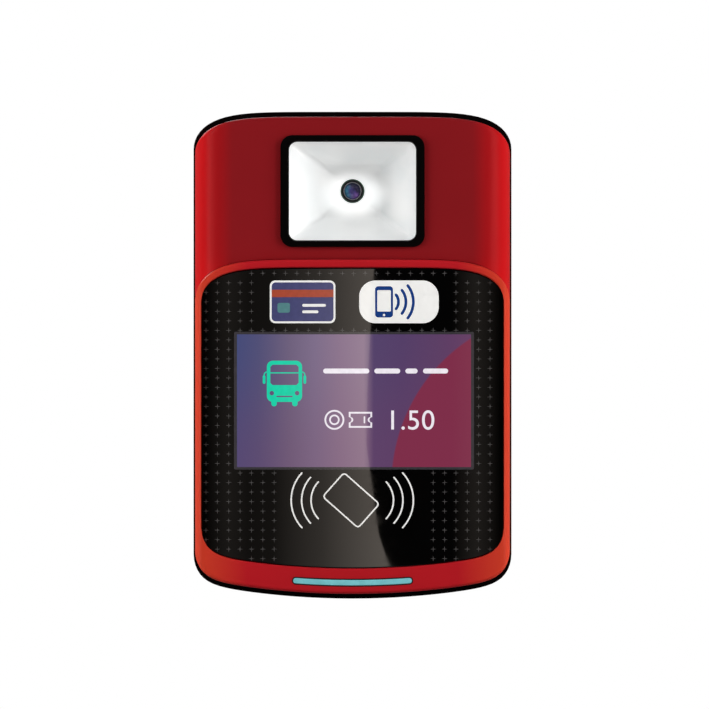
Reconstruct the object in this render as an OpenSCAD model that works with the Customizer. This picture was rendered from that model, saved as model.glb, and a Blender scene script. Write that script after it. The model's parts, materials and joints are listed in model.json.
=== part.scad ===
// Bus ticket validator: a wall bracket, and a two-shell housing that hangs on it and
// holds a display, a contactless reader and a code scanner.
// +X is right and -Y is the front, where the passenger stands. Depths are measured from the wall
// plane (y = 0) towards the front, so a depth d lies at y = -d.

/* [Housing] */
// Overall width of the housing
case_w = 128; // [126:0.5:130]
// Overall height of the housing
case_h = 196; // [194:0.5:200]
// Depth at which the two shells meet
split_d = 38; // [37.8:0.1:38.2]
// Depth of the upper front face
face_d = 66; // [65.5:0.5:67]
// Depth of the crest of the screen bezel
crest_d = 71; // [70.8:0.1:71.4]
// Wall thickness of the mouldings
wall = 2.6; // [2.4:0.1:2.8]

/* [Screen] */
// Width of the visible picture
screen_w = 95.04; // [90:0.5:97]
// Height of the visible picture
screen_h = 53.86; // [50:0.5:55]
// Height of the picture's centre line
screen_z = -18.3; // [-19:0.1:-17.5]
// Radius of the glass about an upright axis
glass_r = 1156; // [1100:1:1400]
// Thickness of the cover glass
glass_t = 3; // [2.6:0.1:3]

/* [Scanner] */
// Height of the scanner's centre line
scan_z = 66.1; // [65:0.1:67]
// Width of the scanner frame
scan_w = 58.1; // [57:0.1:59]
// Height of the scanner frame
scan_h = 45.1; // [44:0.1:46]
// Radius of the lens barrel
lens_r = 4.5; // [4.3:0.1:4.6]

/* [Light bar] */
// Length of the light bar
bar_len = 47.9; // [44:0.1:50]
// Height of the light bar
bar_h = 2.2; // [1.8:0.1:2.6]

/* [Wall bracket] */
// Stand-off of the bracket's web from the wall
standoff = 10; // [10:0.1:10.2]
// Sheet thickness of the bracket
sheet = 2; // [1.8:0.1:2]
// Height of the bracket
bracket_h = 158; // [158:0.1:158.2]
// Sideways distance between the wall holes
wall_hole_dx = 94; // [90:1:96]
// Upright distance between the wall holes
wall_hole_dz = 120; // [100:1:130]
// Radius of the wall holes
wall_hole_r = 2.75; // [2.2:0.05:3.2]
// How far the housing lifts before it can come off the bracket
lift = 10; // [9:0.5:10]

/* [Hidden] */
$fn = 48;

half_w = case_w / 2;
half_h = case_h / 2;
steps = 20;            // segments in each quarter of an outline
web_front = standoff;
web_back = standoff - sheet;
pad_t = 1.2;
gap = 0.3;             // air between parts that move past each other
back_d = web_front + pad_t + gap;
back_wall = 3;
inner_back = back_d + back_wall;
gasket_t = 0.8;
front_back = split_d + gasket_t;   // rear rim of the front shell
deck_d = 52;           // front of the deck that carries the screen assembly
deck_back = deck_d - 2.5;
side_lip = 0.6;        // how far the rear shell stands out at the sides
end_lip = 2;           // and at the top and bottom
bow_r = 632;           // twice the radius of the bowed bottom edge
red_w = half_w - side_lip;
red_top = half_h - end_lip;
red_bottom = -half_h + 1.9;
bezel_top = 38.6;
bezel_drop = 17;
glass_w = red_w - 2.6;
glass_top = 35.1;
glass_bottom = -85.7;
glass_front = crest_d - 0.8;       // depth of the glass on its centre line
adhesive_t = 0.5;
ledge_w = glass_w - 3.3;
screen_x = 0.6;
lcd_front = 65.6;
tray_d = 62.4;
board_d = 33;          // rear face of the main board
board_t = 1.6;
board_front = board_d + board_t;
stud_x = 26;
stud_z = 50;
socket_z = 20;         // height of the cable connector
case_screws_xz = [[-50, 78], [50, 78], [-50, -80], [50, -80]];
bezel_screws_xz = [[-30, 34.8], [30, 34.8], [-44, -87.8], [44, -87.8]];
tray_screws_xz = [[-50, 20], [50, 20], [-50, -70], [50, -70]];
board_screws_xz = [[-38, 32], [38, 32], [-42, -62], [42, -62]];
scanner_screws_xz = [[-32, scan_z - 15], [32, scan_z - 15], [-32, scan_z + 15], [32, scan_z + 15]];
lock_d = 24;           // depth of the lock's upright axis
cam_z = -81.7;
cam_t = 2.2;
cam_len = 18;
window_w = scan_w - 6.8;
window_h = scan_h - 5.3;
bar_z = -91.6;         // height of the light bar at its middle
antenna_z = -65.4;     // height of the contactless antenna's centre
antenna_w = 92;
antenna_h = 25;
scan_board_d = 38.8;   // rear face of the scanner's board
scan_board_t = 1.4;
scan_board_front = scan_board_d + scan_board_t;
barrel_d = 45;         // front rim of the lens barrel
bore_r = 3.58;         // lock barrel's bore, a running fit on the plug
plug_r = 3.5;
door_x = -half_w;      // outer face of the service door
door_t = 1.6;
hinge_x = -half_w + 2.1;
hinge_z = -23.2;
hinge_pin_r = 1;
hinge_bore_r = 1.06;
knuckle_r = 1.9;
catch_z = 33.5;
catch_d = 25.5;
catch_r = 2.2;
card_len = 25;
card_w = 15;
card_t = 0.8;
card_d = 31.5;
card_x = -51;
sim_z = 20;
sam_z = 0;
speaker_d = 26.8;
speaker_z = -45;
reset_z = -13;
bay_z0 = -20;
bay_z1 = 42;
bay_d0 = 17.5;
bay_d1 = 33.2;
bay_end = -51.6;       // inner end of the card bay
bay_wall = 1.5;
socket_end = 5.2;      // depth of the connector's mouth
vent_x = 50;
vent_z = 45;
earth_z = -30;         // height of the earth terminal

// ---------- shared shapes ----------

// Extrudes a front-view outline between two depths.
module slab(d0, d1)
    translate([0, -d0, 0]) rotate([90, 0, 0]) linear_extrude(d1 - d0) children();

// Box given by its limits across, in depth and in height.
module block(x0, x1, d0, d1, z0, z1)
    translate([x0, -d1, z0]) cube([x1 - x0, d1 - d0, z1 - z0]);

// Round bar that runs towards the front.
module rod(x, z, d0, d1, r)
    translate([x, -d0, z]) rotate([90, 0, 0]) cylinder(h = d1 - d0, r = r);

// Round bar that runs across, from x0 to x1.
module cross_rod(x0, x1, d, z, r)
    translate([x0, -d, z]) rotate([0, 90, 0]) cylinder(h = x1 - x0, r = r);

// Upright round bar.
module upright(x, d, z0, z1, r)
    translate([x, -d, z0]) cylinder(h = z1 - z0, r = r);

// Ring between two front-view outlines.
module ring(d0, d1, outer, inner) {
    difference() {
        slab(d0, d1) polygon(outer);
        slab(d0 - 1, d1 + 1) polygon(inner);
    }
}

function arc(cx, cy, r, a0, a1, n) =
    [for (i = [0:n]) let (a = a0 + (a1 - a0) * i / n) [cx + r * cos(a), cy + r * sin(a)]];

// Rounded rectangle about (cx, cz).
function round_rect(w, h, r, cx = 0, cz = 0) = concat(
    arc(cx + w / 2 - r, cz + h / 2 - r, r, 0, 90, 6),
    arc(cx - w / 2 + r, cz + h / 2 - r, r, 90, 180, 6),
    arc(cx - w / 2 + r, cz - h / 2 + r, r, 180, 270, 6),
    arc(cx + w / 2 - r, cz - h / 2 + r, r, 270, 360, 6));

// Share of the half width at step i, closer together towards the side.
function share(i) = 1 - pow(1 - i / steps, 2);

// How far an edge falls away at share u of the half width: flat, then a rounded corner.
function fall(u, drop, sharp) = drop * (1 - sqrt(max(0, 1 - pow(u, sharp))));

function top_edge(hw, z, drop) =
    [for (i = [0:steps]) [hw * share(i), z - fall(share(i), drop, 6)]];

function bottom_edge(hw, z, drop) =
    [for (i = [0:steps]) let (x = hw * share(i)) [x, z + x * x / bow_r + fall(share(i), drop, 14)]];

function reversed(p) = [for (i = [len(p) - 1:-1:0]) p[i]];
function mirrored(p) = [for (q = p) [-q[0], q[1]]];
function tail(p) = [for (i = [1:len(p) - 1]) p[i]];

// Housing outline: crowned top with wide shoulders, straight sides, bowed bottom.
function outline(hw, top, top_drop, bottom, bottom_drop) = concat(
    top_edge(hw, top, top_drop),
    reversed(bottom_edge(hw, bottom, bottom_drop)),
    tail(mirrored(bottom_edge(hw, bottom, bottom_drop))),
    reversed(tail(mirrored(top_edge(hw, top, top_drop)))));

rear_outline = outline(half_w, half_h, 15, -half_h, 11.5);
red_outline = outline(red_w, red_top, 15, red_bottom, 11.5);
hollow_outline = outline(red_w - wall, red_top - wall, 13, red_bottom + wall, 10);
bezel_outline = outline(red_w, bezel_top, bezel_drop, red_bottom, 11.5);
glass_outline = outline(glass_w, glass_top, 13, glass_bottom, 10);
ledge_outline = outline(ledge_w, glass_top - 3.3, 11, glass_bottom + 3.3, 9);

// Plan view of a housing part: r0 rounds its back corners and r1 its front corners.
function plan(hw, d0, r0, d1, r1) = concat(
    arc(hw - r1, r1 - d1, r1, 0, -90, 10),
    arc(r1 - hw, r1 - d1, r1, -90, -180, 10),
    arc(r0 - hw, -d0 - r0, r0, 180, 90, 6),
    arc(hw - r0, -d0 - r0, r0, 90, 0, 6));

// Solid with the given front outline, and with the given plan.
module moulding(points, hw, d0, r0, d1, r1) {
    intersection() {
        slab(d0 - 1, d1 + 1) polygon(points);
        translate([0, 0, -110]) linear_extrude(220) polygon(plan(hw, d0, r0, d1, r1));
    }
}

// Everything behind the glass curve that lies depth `under` below the glass.
module glass_curve(under)
    translate([0, glass_r - glass_front, -110])
        cylinder(h = 220, r = glass_r - under, $fn = 256);

// Band along the bowed light bar, widened by k all round.
function bar_centre(x) = bar_z + x * x / bow_r;
function bar_band(k) = let (r = bar_h / 2 + k, e = bar_len / 2 - bar_h / 2) concat(
    [for (i = [-6:6]) [e * i / 6, bar_centre(e * i / 6) + r]],
    tail(arc(e, bar_centre(e), r, 90, -90, 8)),
    [for (i = [5:-1:-6]) [e * i / 6, bar_centre(e * i / 6) - r]],
    [for (i = [1:7]) let (a = 270 - 180 * i / 8) [-e + r * cos(a), bar_centre(e) + r * sin(a)]]);

// Socket-head screw: the head's rear face at d0, the shank's end at d2.
module screw(x, z, d0, head_t, head_r, d2, shank_r) {
    difference() {
        union() {
            rod(x, z, d0, d0 + head_t, head_r);
            rod(x, z, d0 + head_t - 0.01, d2, shank_r);
        }
        translate([x, 0.01 - d0, z]) rotate([90, 0, 0])
            cylinder(h = head_t * 0.6, r = head_r * 0.5, $fn = 6);
    }
}

// ---------- wall bracket ----------

module keyhole(x, z) {
    rod(x, z, web_back - 1, web_front + 1, 3.3);
    block(x - 3.3, x + 3.3, web_back - 1, web_front + 1, z, z + lift);
    rod(x, z + lift, web_back - 1, web_front + 1, 6);
}

// Bent sheet: a web that carries the housing, two flanges and two feet against the wall.
module wall_bracket() {
    foot_end = wall_hole_dx / 2 + 9;
    flange_x = 38;
    color("dimgray") difference() {
        union() {
            block(-flange_x, flange_x, web_back, web_front, -bracket_h / 2, bracket_h / 2);
            for (s = [-1, 1]) {
                block(s > 0 ? flange_x - sheet : -flange_x, s > 0 ? flange_x : sheet - flange_x,
                    0, web_front, -bracket_h / 2, bracket_h / 2);
                slab(0, sheet) polygon(round_rect(foot_end - flange_x + sheet, bracket_h, 4,
                    s * (foot_end + flange_x - sheet) / 2, 0));
            }
        }
        for (x = [-1, 1], z = [-1, 1]) {
            keyhole(x * stud_x, z * stud_z);
            rod(x * wall_hole_dx / 2, z * wall_hole_dz / 2, -1, sheet + 1, wall_hole_r);
        }
        rod(0, socket_z + lift / 2, web_back - 1, web_front + 1, 20);
        // window above the strip that the lock's cam catches
        slab(web_back - 1, web_front + 1) polygon(round_rect(26, 11, 2, 7, 8 - bracket_h / 2));
        rod(0, earth_z, web_back - 1, web_front + 1, 2.1);
    }
}

module bracket_pads() {
    color([0.12, 0.12, 0.12]) for (x = [-30, 30], z = [-68, 72.5])
        slab(web_front, web_front + pad_t) polygon(round_rect(9, 12, 2, x, z));
}

// Earth terminal in the web.
module earth_screw() {
    color("goldenrod") {
        rod(0, earth_z, web_back - 3.2, web_front, 2.1);
        translate([0, -web_back, earth_z]) rotate([-90, 0, 0]) difference() {
            cylinder(h = 2.4, r = 4, $fn = 6);
            translate([0, 0, -1]) cylinder(h = 5, r = 2.1);
        }
    }
}

// ---------- housing shells ----------

module card_bay_walls() {
    difference() {
        block(-half_w + 1, bay_end, bay_d0 - bay_wall, bay_d1 + bay_wall,
            bay_z0 - bay_wall, bay_z1 + bay_wall);
        block(-half_w - 1, bay_end + 1, bay_d0, bay_d1, bay_z0, bay_z1);
    }
    // pocket around the hinge
    block(-half_w + 1, -half_w + 6, 15, 36, hinge_z - 5, bay_z0);
    // wall between the shell's side and the bay, with the door's opening
    block(-half_w + 2, -half_w + 3.2, 15, 36, bay_z0, bay_z1);
}

module door_cuts() {
    // recess for the door
    block(-half_w - 1, -half_w + 1.9, 16.4, 34.6, hinge_z - 2.8, 39);
    // hinge pocket
    block(-half_w - 1, hinge_x + knuckle_r + gap, 16.4, 34.6, hinge_z - 2.8, bay_z0 + 1.5);
    // opening into the bay
    block(-half_w - 1, -half_w + 4, 18.5, 32.5, bay_z0 + 1.5, 37);
}

// The rear shell's own knuckle, between the door's two.
module shell_knuckle() {
    d0 = 21.3;
    d1 = 29.7;
    difference() {
        union() {
            rod(hinge_x, hinge_z, d0, d1, knuckle_r);
            block(hinge_x, hinge_x + 3, d0, d1, hinge_z - 1.2, hinge_z + 1.2);
        }
        rod(hinge_x, hinge_z, 16, 36, hinge_pin_r);
    }
}

module rear_shell() {
    color([0.03, 0.03, 0.03]) {
        difference() {
            union() {
                difference() {
                    moulding(rear_outline, half_w, back_d, 6, split_d, 0.4);
                    moulding(hollow_outline, red_w - wall, inner_back, 3.5, split_d + 5, 0.4);
                }
                card_bay_walls();
                for (p = case_screws_xz) rod(p[0], p[1], inner_back - 0.5, split_d, 4.5);
                // flat seat for the lock's nut
                upright(0, lock_d, -half_h + 2, -half_h + 5, 10);
            }
            door_cuts();
            for (p = case_screws_xz) {
                rod(p[0], p[1], back_d - 1, 16, 3.2);
                rod(p[0], p[1], 15, split_d + 1, 1.7);
            }
            for (x = [-stud_x, stud_x], z = [-stud_z, stud_z])
                rod(x, z, back_d - 1, inner_back + 1, 2);
            rod(0, socket_z, back_d - 1, inner_back + 1, 8);
            rod(vent_x, vent_z, back_d - 1, inner_back + 1, 2.5);
            // lock: counterbore, barrel hole, and the slot that its cam swings through
            upright(0, lock_d, -half_h - 1, -half_h + 1.7, 7.4);
            upright(0, lock_d, -half_h - 1, -half_h + 6, 6.1);
            block(-5, 18, back_d - 1, inner_back + 1, cam_z - 0.7, cam_z + cam_t + 0.6);
            speaker_grille();
        }
        shell_knuckle();
    }
}

// Sound holes through the right wall: one, then rings of six and twelve.
module speaker_grille() {
    pitch = 3.1;
    for (k = [0:2], i = [0:max(0, 6 * k - 1)])
        let (a = k == 0 ? 0 : 60 * i / k)
            cross_rod(half_w - 4, half_w + 1, speaker_d + k * pitch * cos(a),
                speaker_z + k * pitch * sin(a), 0.9);
}

module front_shell() {
    step_outline = outline(red_w - 0.01, bezel_top + wall, bezel_drop, red_bottom + 0.5, 11.5);
    color([0.55, 0.06, 0.07]) difference() {
        union() {
            difference() {
                moulding(red_outline, red_w, front_back, 0.4, face_d, 14);
                moulding(hollow_outline, red_w - wall, front_back - 5, 0.4, deck_back, 0.4);
                difference() {
                    moulding(hollow_outline, red_w - wall, front_back - 5, 0.4, face_d - wall, 11.5);
                    slab(deck_back, face_d) polygon(step_outline);
                }
            }
            for (p = case_screws_xz)
                rod(p[0], p[1], front_back, p[1] > 0 ? face_d - wall + 0.4 : deck_back + 1, 4.2);
            for (p = board_screws_xz) rod(p[0], p[1], board_front, deck_back + 1, 3.5);
            for (p = scanner_screws_xz) rod(p[0], p[1], front_back, face_d - wall + 0.5, 3);
        }
        // seat of the screen bezel
        slab(deck_d, face_d + 1) polygon(outline(red_w, bezel_top + 0.2, bezel_drop, -half_h, 11));
        block(-half_w - 1, half_w + 1, deck_d, face_d + 1, -half_h, bezel_top + 0.2 - bezel_drop);
        // cable window in the deck
        slab(deck_back - 1, deck_d + 1) polygon(round_rect(64, 46, 4, 0, -20));
        // scanner opening
        slab(face_d - wall - 2, face_d + 1)
            polygon(round_rect(scan_w - 2, scan_h - 2, 3.8, 0, scan_z));
        for (p = case_screws_xz) rod(p[0], p[1], front_back - 1, front_back + 8, 2.3);
        for (p = board_screws_xz) rod(p[0], p[1], board_front - 1, board_front + 10, 1.25);
        for (p = scanner_screws_xz) rod(p[0], p[1], front_back - 1, front_back + 8, 1.25);
        for (p = concat(bezel_screws_xz, tray_screws_xz)) rod(p[0], p[1], deck_back - 1, deck_d + 1, 1.5);
    }
}

// Raised rim around the glass, in one piece with the chin that holds the light bar.
module screen_bezel() {
    color([0.8, 0.12, 0.12]) difference() {
        moulding(bezel_outline, red_w, deck_d + 0.2, 0.4, crest_d, 4.5);
        difference() {
            slab(deck_d + 8, crest_d + 1)
                polygon(outline(glass_w + 0.2, glass_top + 0.2, 13, glass_bottom - 0.2, 10));
            glass_curve(glass_t + adhesive_t);
        }
        slab(deck_d - 1, crest_d + 1) polygon(ledge_outline);
        // light bar slot, and the chamber behind it
        slab(deck_d - 1, crest_d + 1) polygon(bar_band(0.5));
        block(-27, 27, deck_d - 1, crest_d - 5, bar_z - 2.2, bar_z + 3.2);
        for (p = bezel_screws_xz) rod(p[0], p[1], deck_d - 1, deck_d + 7, 1.25);
    }
}

module shell_gasket() {
    color([0.1, 0.1, 0.1]) ring(split_d, front_back,
        outline(half_w - 1.2, half_h - 2.9, 14.5, -half_h + 2.9, 11),
        outline(half_w - 2.6, half_h - 4.1, 13.5, -half_h + 4.1, 10.5));
}

module case_screws() {
    color("silver") for (p = case_screws_xz) screw(p[0], p[1], 13.6, 2.4, 2.75, front_back + 7, 1.5);
}

module case_inserts() {
    color("goldenrod") for (p = case_screws_xz) difference() {
        rod(p[0], p[1], front_back, front_back + 7, 2.3);
        rod(p[0], p[1], front_back - 1, front_back + 8, 1.5);
    }
}

// Screws that hold the bezel and the display tray on the deck.
module bezel_screws() {
    color("silver") for (p = concat(bezel_screws_xz, tray_screws_xz))
        screw(p[0], p[1], deck_back - 1.8, 1.8, 2.3, deck_d + 6, 1.2);
}

// Mushroom-headed studs that hook into the bracket's keyholes.
module mounting_studs() {
    color("silver") for (x = [-stud_x, stud_x], z = [-stud_z, stud_z]) {
        rod(x, z, web_back - gap - 2.4, web_back - gap, 5.5);
        rod(x, z, web_back - gap - 0.01, back_d, 3);
        rod(x, z, back_d - 0.01, inner_back + 4, 2);
    }
}

module stud_nuts() {
    color("silver") for (x = [-stud_x, stud_x], z = [-stud_z, stud_z]) difference() {
        translate([x, -inner_back, z]) rotate([90, 0, 0]) cylinder(h = 3.2, r = 4, $fn = 6);
        rod(x, z, inner_back - 1, inner_back + 5, 2);
    }
}

// Breathable plug that lets the sealed housing follow the air pressure.
module vent_plug() {
    color([0.2, 0.2, 0.2]) difference() {
        union() {
            rod(vent_x, vent_z, back_d - 1.4, back_d, 5);
            rod(vent_x, vent_z, back_d - 0.01, inner_back + 0.5, 2.5);
        }
        for (a = [0:60:300])
            rod(vent_x + 3.4 * cos(a), vent_z + 3.4 * sin(a), back_d - 2, back_d - 0.6, 0.6);
    }
}

module label_plate() {
    color("silver") slab(back_d - 0.25, back_d) polygon(round_rect(56, 28, 2, 0, -24));
}

// ---------- screen ----------

module front_glass() {
    color([0.05, 0.05, 0.06]) intersection() {
        slab(deck_d + 8, crest_d + 1) polygon(glass_outline);
        difference() {
            glass_curve(0);
            glass_curve(glass_t);
        }
    }
}

module glass_adhesive() {
    color([0.15, 0.15, 0.15]) difference() {
        intersection() {
            slab(deck_d + 8, crest_d + 1)
                polygon(outline(glass_w - 0.6, glass_top - 0.6, 12.8, glass_bottom + 0.6, 9.8));
            difference() {
                glass_curve(glass_t);
                glass_curve(glass_t + adhesive_t);
            }
        }
        slab(deck_d, crest_d + 1) polygon(ledge_outline);
    }
}

module lcd_panel() {
    color([0.28, 0.24, 0.42]) block(screen_x - screen_w / 2 - 3, screen_x + screen_w / 2 + 3,
        lcd_front - 1.3, lcd_front, screen_z - screen_h / 2 - 3, screen_z + screen_h / 2 + 3);
}

// Folded steel tray that holds the picture panel and its backlight.
module lcd_frame() {
    w = screen_w / 2 + 5.2;
    h = screen_h / 2 + 6;
    color("lightgray") difference() {
        block(screen_x - w, screen_x + w, tray_d, lcd_front - 0.1, screen_z - h, screen_z + h);
        block(screen_x - w + 2.2, screen_x + w - 2.2, lcd_front - 1.3, lcd_front + 1,
            screen_z - h + 3, screen_z + h - 3);
    }
}

function tray_outline(k) =
    outline(ledge_w - 0.8 - k, glass_top - 4.1 - k, 11, glass_bottom + 4.1 + k, 9);

module display_tray() {
    color([0.16, 0.16, 0.17]) difference() {
        union() {
            difference() {
                slab(deck_d, tray_d) polygon(tray_outline(0));
                slab(deck_d - 1, tray_d - 2.2) polygon(tray_outline(2));
            }
            for (p = tray_screws_xz) rod(p[0], p[1], deck_d, tray_d - 1, 3);
        }
        for (p = tray_screws_xz) rod(p[0], p[1], deck_d - 1, deck_d + 6, 1.2);
        slab(tray_d - 4, tray_d + 1) polygon(round_rect(40, 6, 2, 0, -45));
    }
}

// Flat cable from the picture panel down to the main board, 18 wide.
module display_flex() {
    t = 0.3;
    path = [[tray_d - 0.01, -43.2], [deck_d + 2, -41], [44, -34], [board_front + 4.2, -31]];
    color([0.75, 0.5, 0.15]) translate([-9, 0, 0]) rotate([90, 0, 90]) linear_extrude(18)
        polygon(concat([for (p = path) [-p[0], p[1]]],
            [for (p = reversed(path)) [-p[0] + 0.05, p[1] - t]]));
}

module ferrite_sheet() {
    color([0.25, 0.25, 0.27])
        slab(tray_d, tray_d + 0.4) polygon(round_rect(antenna_w - 4, antenna_h - 4, 2, 0, antenna_z));
}

module antenna_board() {
    color([0.05, 0.3, 0.15]) slab(tray_d + 0.4, tray_d + 1.4)
        polygon(round_rect(antenna_w, antenna_h, 2, 0, antenna_z));
}

// Copper loops of the contactless reader.
module antenna_coil() {
    color("peru") for (i = [0:3]) let (w = antenna_w - 3 - 3.2 * i, h = antenna_h - 3 - 3.2 * i)
        ring(tray_d + 1.4, tray_d + 1.55,
            round_rect(w, h, 1.6, 0, antenna_z), round_rect(w - 2, h - 2, 0.8, 0, antenna_z));
}

// ---------- code scanner ----------

module scanner_frame() {
    skirt = 61;
    color([0.03, 0.03, 0.03]) difference() {
        union() {
            slab(face_d, face_d + 1.4) polygon(round_rect(scan_w, scan_h, 4.8, 0, scan_z));
            slab(skirt, face_d + 0.5) polygon(round_rect(scan_w - 2.2, scan_h - 2.2, 3.7, 0, scan_z));
        }
        slab(skirt - 1, face_d + 2) polygon(round_rect(window_w, window_h, 3.4, 0, scan_z));
        slab(skirt - 1, face_d - 0.6) polygon(round_rect(window_w + 2.1, window_h + 1.6, 3.2, 0, scan_z));
    }
}

module scanner_window() {
    color([0.8, 0.9, 0.95, 0.3]) slab(face_d - 2.1, face_d - 0.6)
        polygon(round_rect(window_w + 1.9, window_h + 1.4, 3.1, 0, scan_z));
}

module window_seal() {
    color([0.1, 0.1, 0.1]) ring(face_d - 2.7, face_d - 2.1,
        round_rect(window_w + 1.9, window_h + 1.4, 3.1, 0, scan_z),
        round_rect(window_w - 0.2, window_h - 0.2, 3.2, 0, scan_z));
}

// White funnel with four sloping faces, which spreads the scanner's light.
module funnel(front, back, w0, h0, w1, h1, r) {
    hull() {
        slab(front - 0.1, front) polygon(round_rect(w0, h0, r, 0, scan_z));
        slab(back, back + 0.1) polygon(round_rect(w1, h1, 1, 0, scan_z));
    }
}

module reflector() {
    front = face_d - 2.7;
    back = barrel_d - 2.5;
    color("white") difference() {
        union() {
            slab(front - 1, front) polygon(round_rect(window_w + 1.9, window_h + 1.4, 3.1, 0, scan_z));
            funnel(front - 0.5, back, window_w + 1, window_h + 1, 17, 15, 3.4);
        }
        funnel(front + 1, back + 1.5, window_w - 0.2, window_h - 0.2, 14, 12, 3.2);
        rod(0, scan_z, back - 1, back + 2, lens_r + 0.3);
    }
}

module lens_barrel() {
    color([0.06, 0.06, 0.07]) difference() {
        union() {
            slab(scan_board_front, barrel_d - 2.7) polygon(round_rect(12, 12, 1, 0, scan_z));
            rod(0, scan_z, barrel_d - 3, barrel_d, lens_r);
        }
        rod(0, scan_z, barrel_d - 3.5, barrel_d + 1, lens_r - 0.9);
    }
}

module lens_ring() {
    color("gray") difference() {
        rod(0, scan_z, barrel_d - 1.1, barrel_d - 0.2, lens_r - 0.9);
        rod(0, scan_z, barrel_d - 2, barrel_d + 1, lens_r - 1.7);
    }
}

module lens_glass() {
    dome = 5.2;
    crest = barrel_d - 1.12;
    color([0.15, 0.15, 0.4]) intersection() {
        translate([0, dome - crest, scan_z]) sphere(r = dome);
        rod(0, scan_z, barrel_d - 3.5, crest, lens_r - 0.95);
    }
}

module scanner_board() {
    color([0.05, 0.3, 0.15])
        slab(scan_board_d, scan_board_front) polygon(round_rect(34, 28, 1.5, 0, scan_z));
}

module scanner_leds() {
    color("white") for (x = [-13, 13], z = [-10, 10])
        block(x - 1.5, x + 1.5, scan_board_front, scan_board_front + 0.9,
            scan_z + z - 1.5, scan_z + z + 1.5);
}

module scanner_bracket() {
    color([0.6, 0.6, 0.62]) difference() {
        slab(scan_board_d - 1.6, scan_board_d) polygon(round_rect(72, 38, 4, 0, scan_z));
        slab(scan_board_d - 3, scan_board_d + 1) polygon(round_rect(22, 16, 2, 0, scan_z));
        for (p = scanner_screws_xz) rod(p[0], p[1], scan_board_d - 3, scan_board_d + 1, 1.4);
    }
}

module scanner_screws() {
    color("silver") for (p = scanner_screws_xz)
        screw(p[0], p[1], scan_board_d - 3.2, 1.6, 2.3, 45, 1.2);
}

// ---------- light bar ----------

module light_bar() {
    color([0.3, 0.75, 0.8]) slab(crest_d - 5, crest_d) polygon(bar_band(0));
}

module light_seal() {
    color([0.05, 0.05, 0.05]) ring(crest_d - 5, crest_d - 0.1, bar_band(0.5), bar_band(0));
}

// Narrow board with five lamps behind the bar.
module light_board() {
    color("white") {
        block(-24, 24, crest_d - 7.6, crest_d - 6.6, bar_z - 1.4, bar_z + 2.6);
        for (i = [-2:2]) let (x = i * bar_len / 5)
            block(x - 1.4, x + 1.4, crest_d - 6.61, crest_d - 5.4, bar_z - 0.7, bar_z + 1.7);
    }
}

// ---------- electronics ----------

module main_board() {
    color([0.05, 0.3, 0.15]) difference() {
        slab(board_d, board_front) polygon(round_rect(95, 114, 2, -0.5, -13));
        for (p = board_screws_xz) rod(p[0], p[1], board_d - 1, board_front + 1, 1.5);
    }
}

module board_screws() {
    color("silver") for (p = board_screws_xz) screw(p[0], p[1], board_d - 1.6, 1.6, 2.3, 44, 1.2);
}

module board_chips() {
    color([0.12, 0.12, 0.13]) {
        block(-16, 2, board_front, board_front + 1.2, 8, 26);
        block(12, 26, board_front, board_front + 1.1, 10, 22);
        block(-34, -24, board_front, board_front + 1, -56, -46);
        block(28, 36, board_front, board_front + 1, -20, -6);
    }
}

module shield_can(x0, x1, d0, d1, z0, z1) {
    difference() {
        block(x0, x1, d0, d1, z0, z1);
        for (i = [1:3], j = [1:2])
            rod(x0 + (x1 - x0) * i / 4, z0 + (z1 - z0) * j / 3, d1 - 0.3, d1 + 1, 0.8);
    }
}

module shield_cans() {
    color("lightgray") {
        shield_can(-30, -4, board_front, board_front + 2.6, -24, -6);
        shield_can(4, 24, board_front, board_front + 2.6, -52, -38);
    }
}

module modem_module() {
    color("silver") {
        block(4, 34, board_d - 2.4, board_d, -26, 4);
        block(6, 32, board_d - 2.7, board_d - 2.39, -24, 2);
    }
}

module board_connectors() {
    color("ivory") for (p = [[-20, 36, 16], [16, 36, 12], [-14, -30, 22], [30, -62, 10]])
        block(p[0] - p[2] / 2, p[0] + p[2] / 2, board_front, board_front + 4.2, p[1] - 3, p[1] + 3);
}

// Coin cell that keeps the clock running, in its holder.
module clock_cell() {
    color("silver") rod(-20, -44, board_d - 4.2, board_d - 1, 10);
    color([0.1, 0.1, 0.1]) block(-31.5, -8.5, board_d - 1.01, board_d, -49, -39);
}

// Card socket, with a slot that opens to the left.
module card_socket(z) {
    difference() {
        block(-47.8, -23, 30.4, board_d, z - 8.8, z + 8.8);
        block(-50, card_x + card_len + 0.5, card_d - gap, card_d + card_t + gap,
            z - card_w / 2 - gap, z + card_w / 2 + gap);
        block(-42, -32, 29, card_d, z - 4, z + 4);
    }
}

module sim_socket() {
    color("lightgray") card_socket(sim_z);
}

module sam_socket() {
    color("lightgray") card_socket(sam_z);
}

// Small plug-in card with one cut corner.
module chip_card(z) {
    slab(card_d, card_d + card_t) polygon([
        [card_x, z - card_w / 2], [card_x + card_len, z - card_w / 2],
        [card_x + card_len, z + card_w / 2 - 2.5], [card_x + card_len - 2.5, z + card_w / 2],
        [card_x, z + card_w / 2]]);
}

module sim_card() {
    color("whitesmoke") chip_card(sim_z);
}

module sam_card() {
    color("lightsteelblue") chip_card(sam_z);
}

module service_port() {
    color("silver") translate([-50.4, -(board_d - 1.7), 35]) rotate([90, 0, 90]) difference() {
        linear_extrude(7.4) polygon(round_rect(3.2, 8.9, 1.5));
        translate([0, 0, -1]) linear_extrude(7) polygon(round_rect(2.6, 8.3, 1.2));
    }
}

// Housing of the reset switch, and its short plunger that faces the bay.
module reset_switch() {
    color([0.15, 0.15, 0.15]) difference() {
        block(-50.4, -45.8, 28.4, board_d, reset_z - 3, reset_z + 3);
        cross_rod(-52, -47, 30.7, reset_z, 1.33);
    }
}

module reset_button() {
    color("firebrick") cross_rod(-51.5, -48, 30.7, reset_z, 1.25);
}

// ---------- loudspeaker ----------

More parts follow.
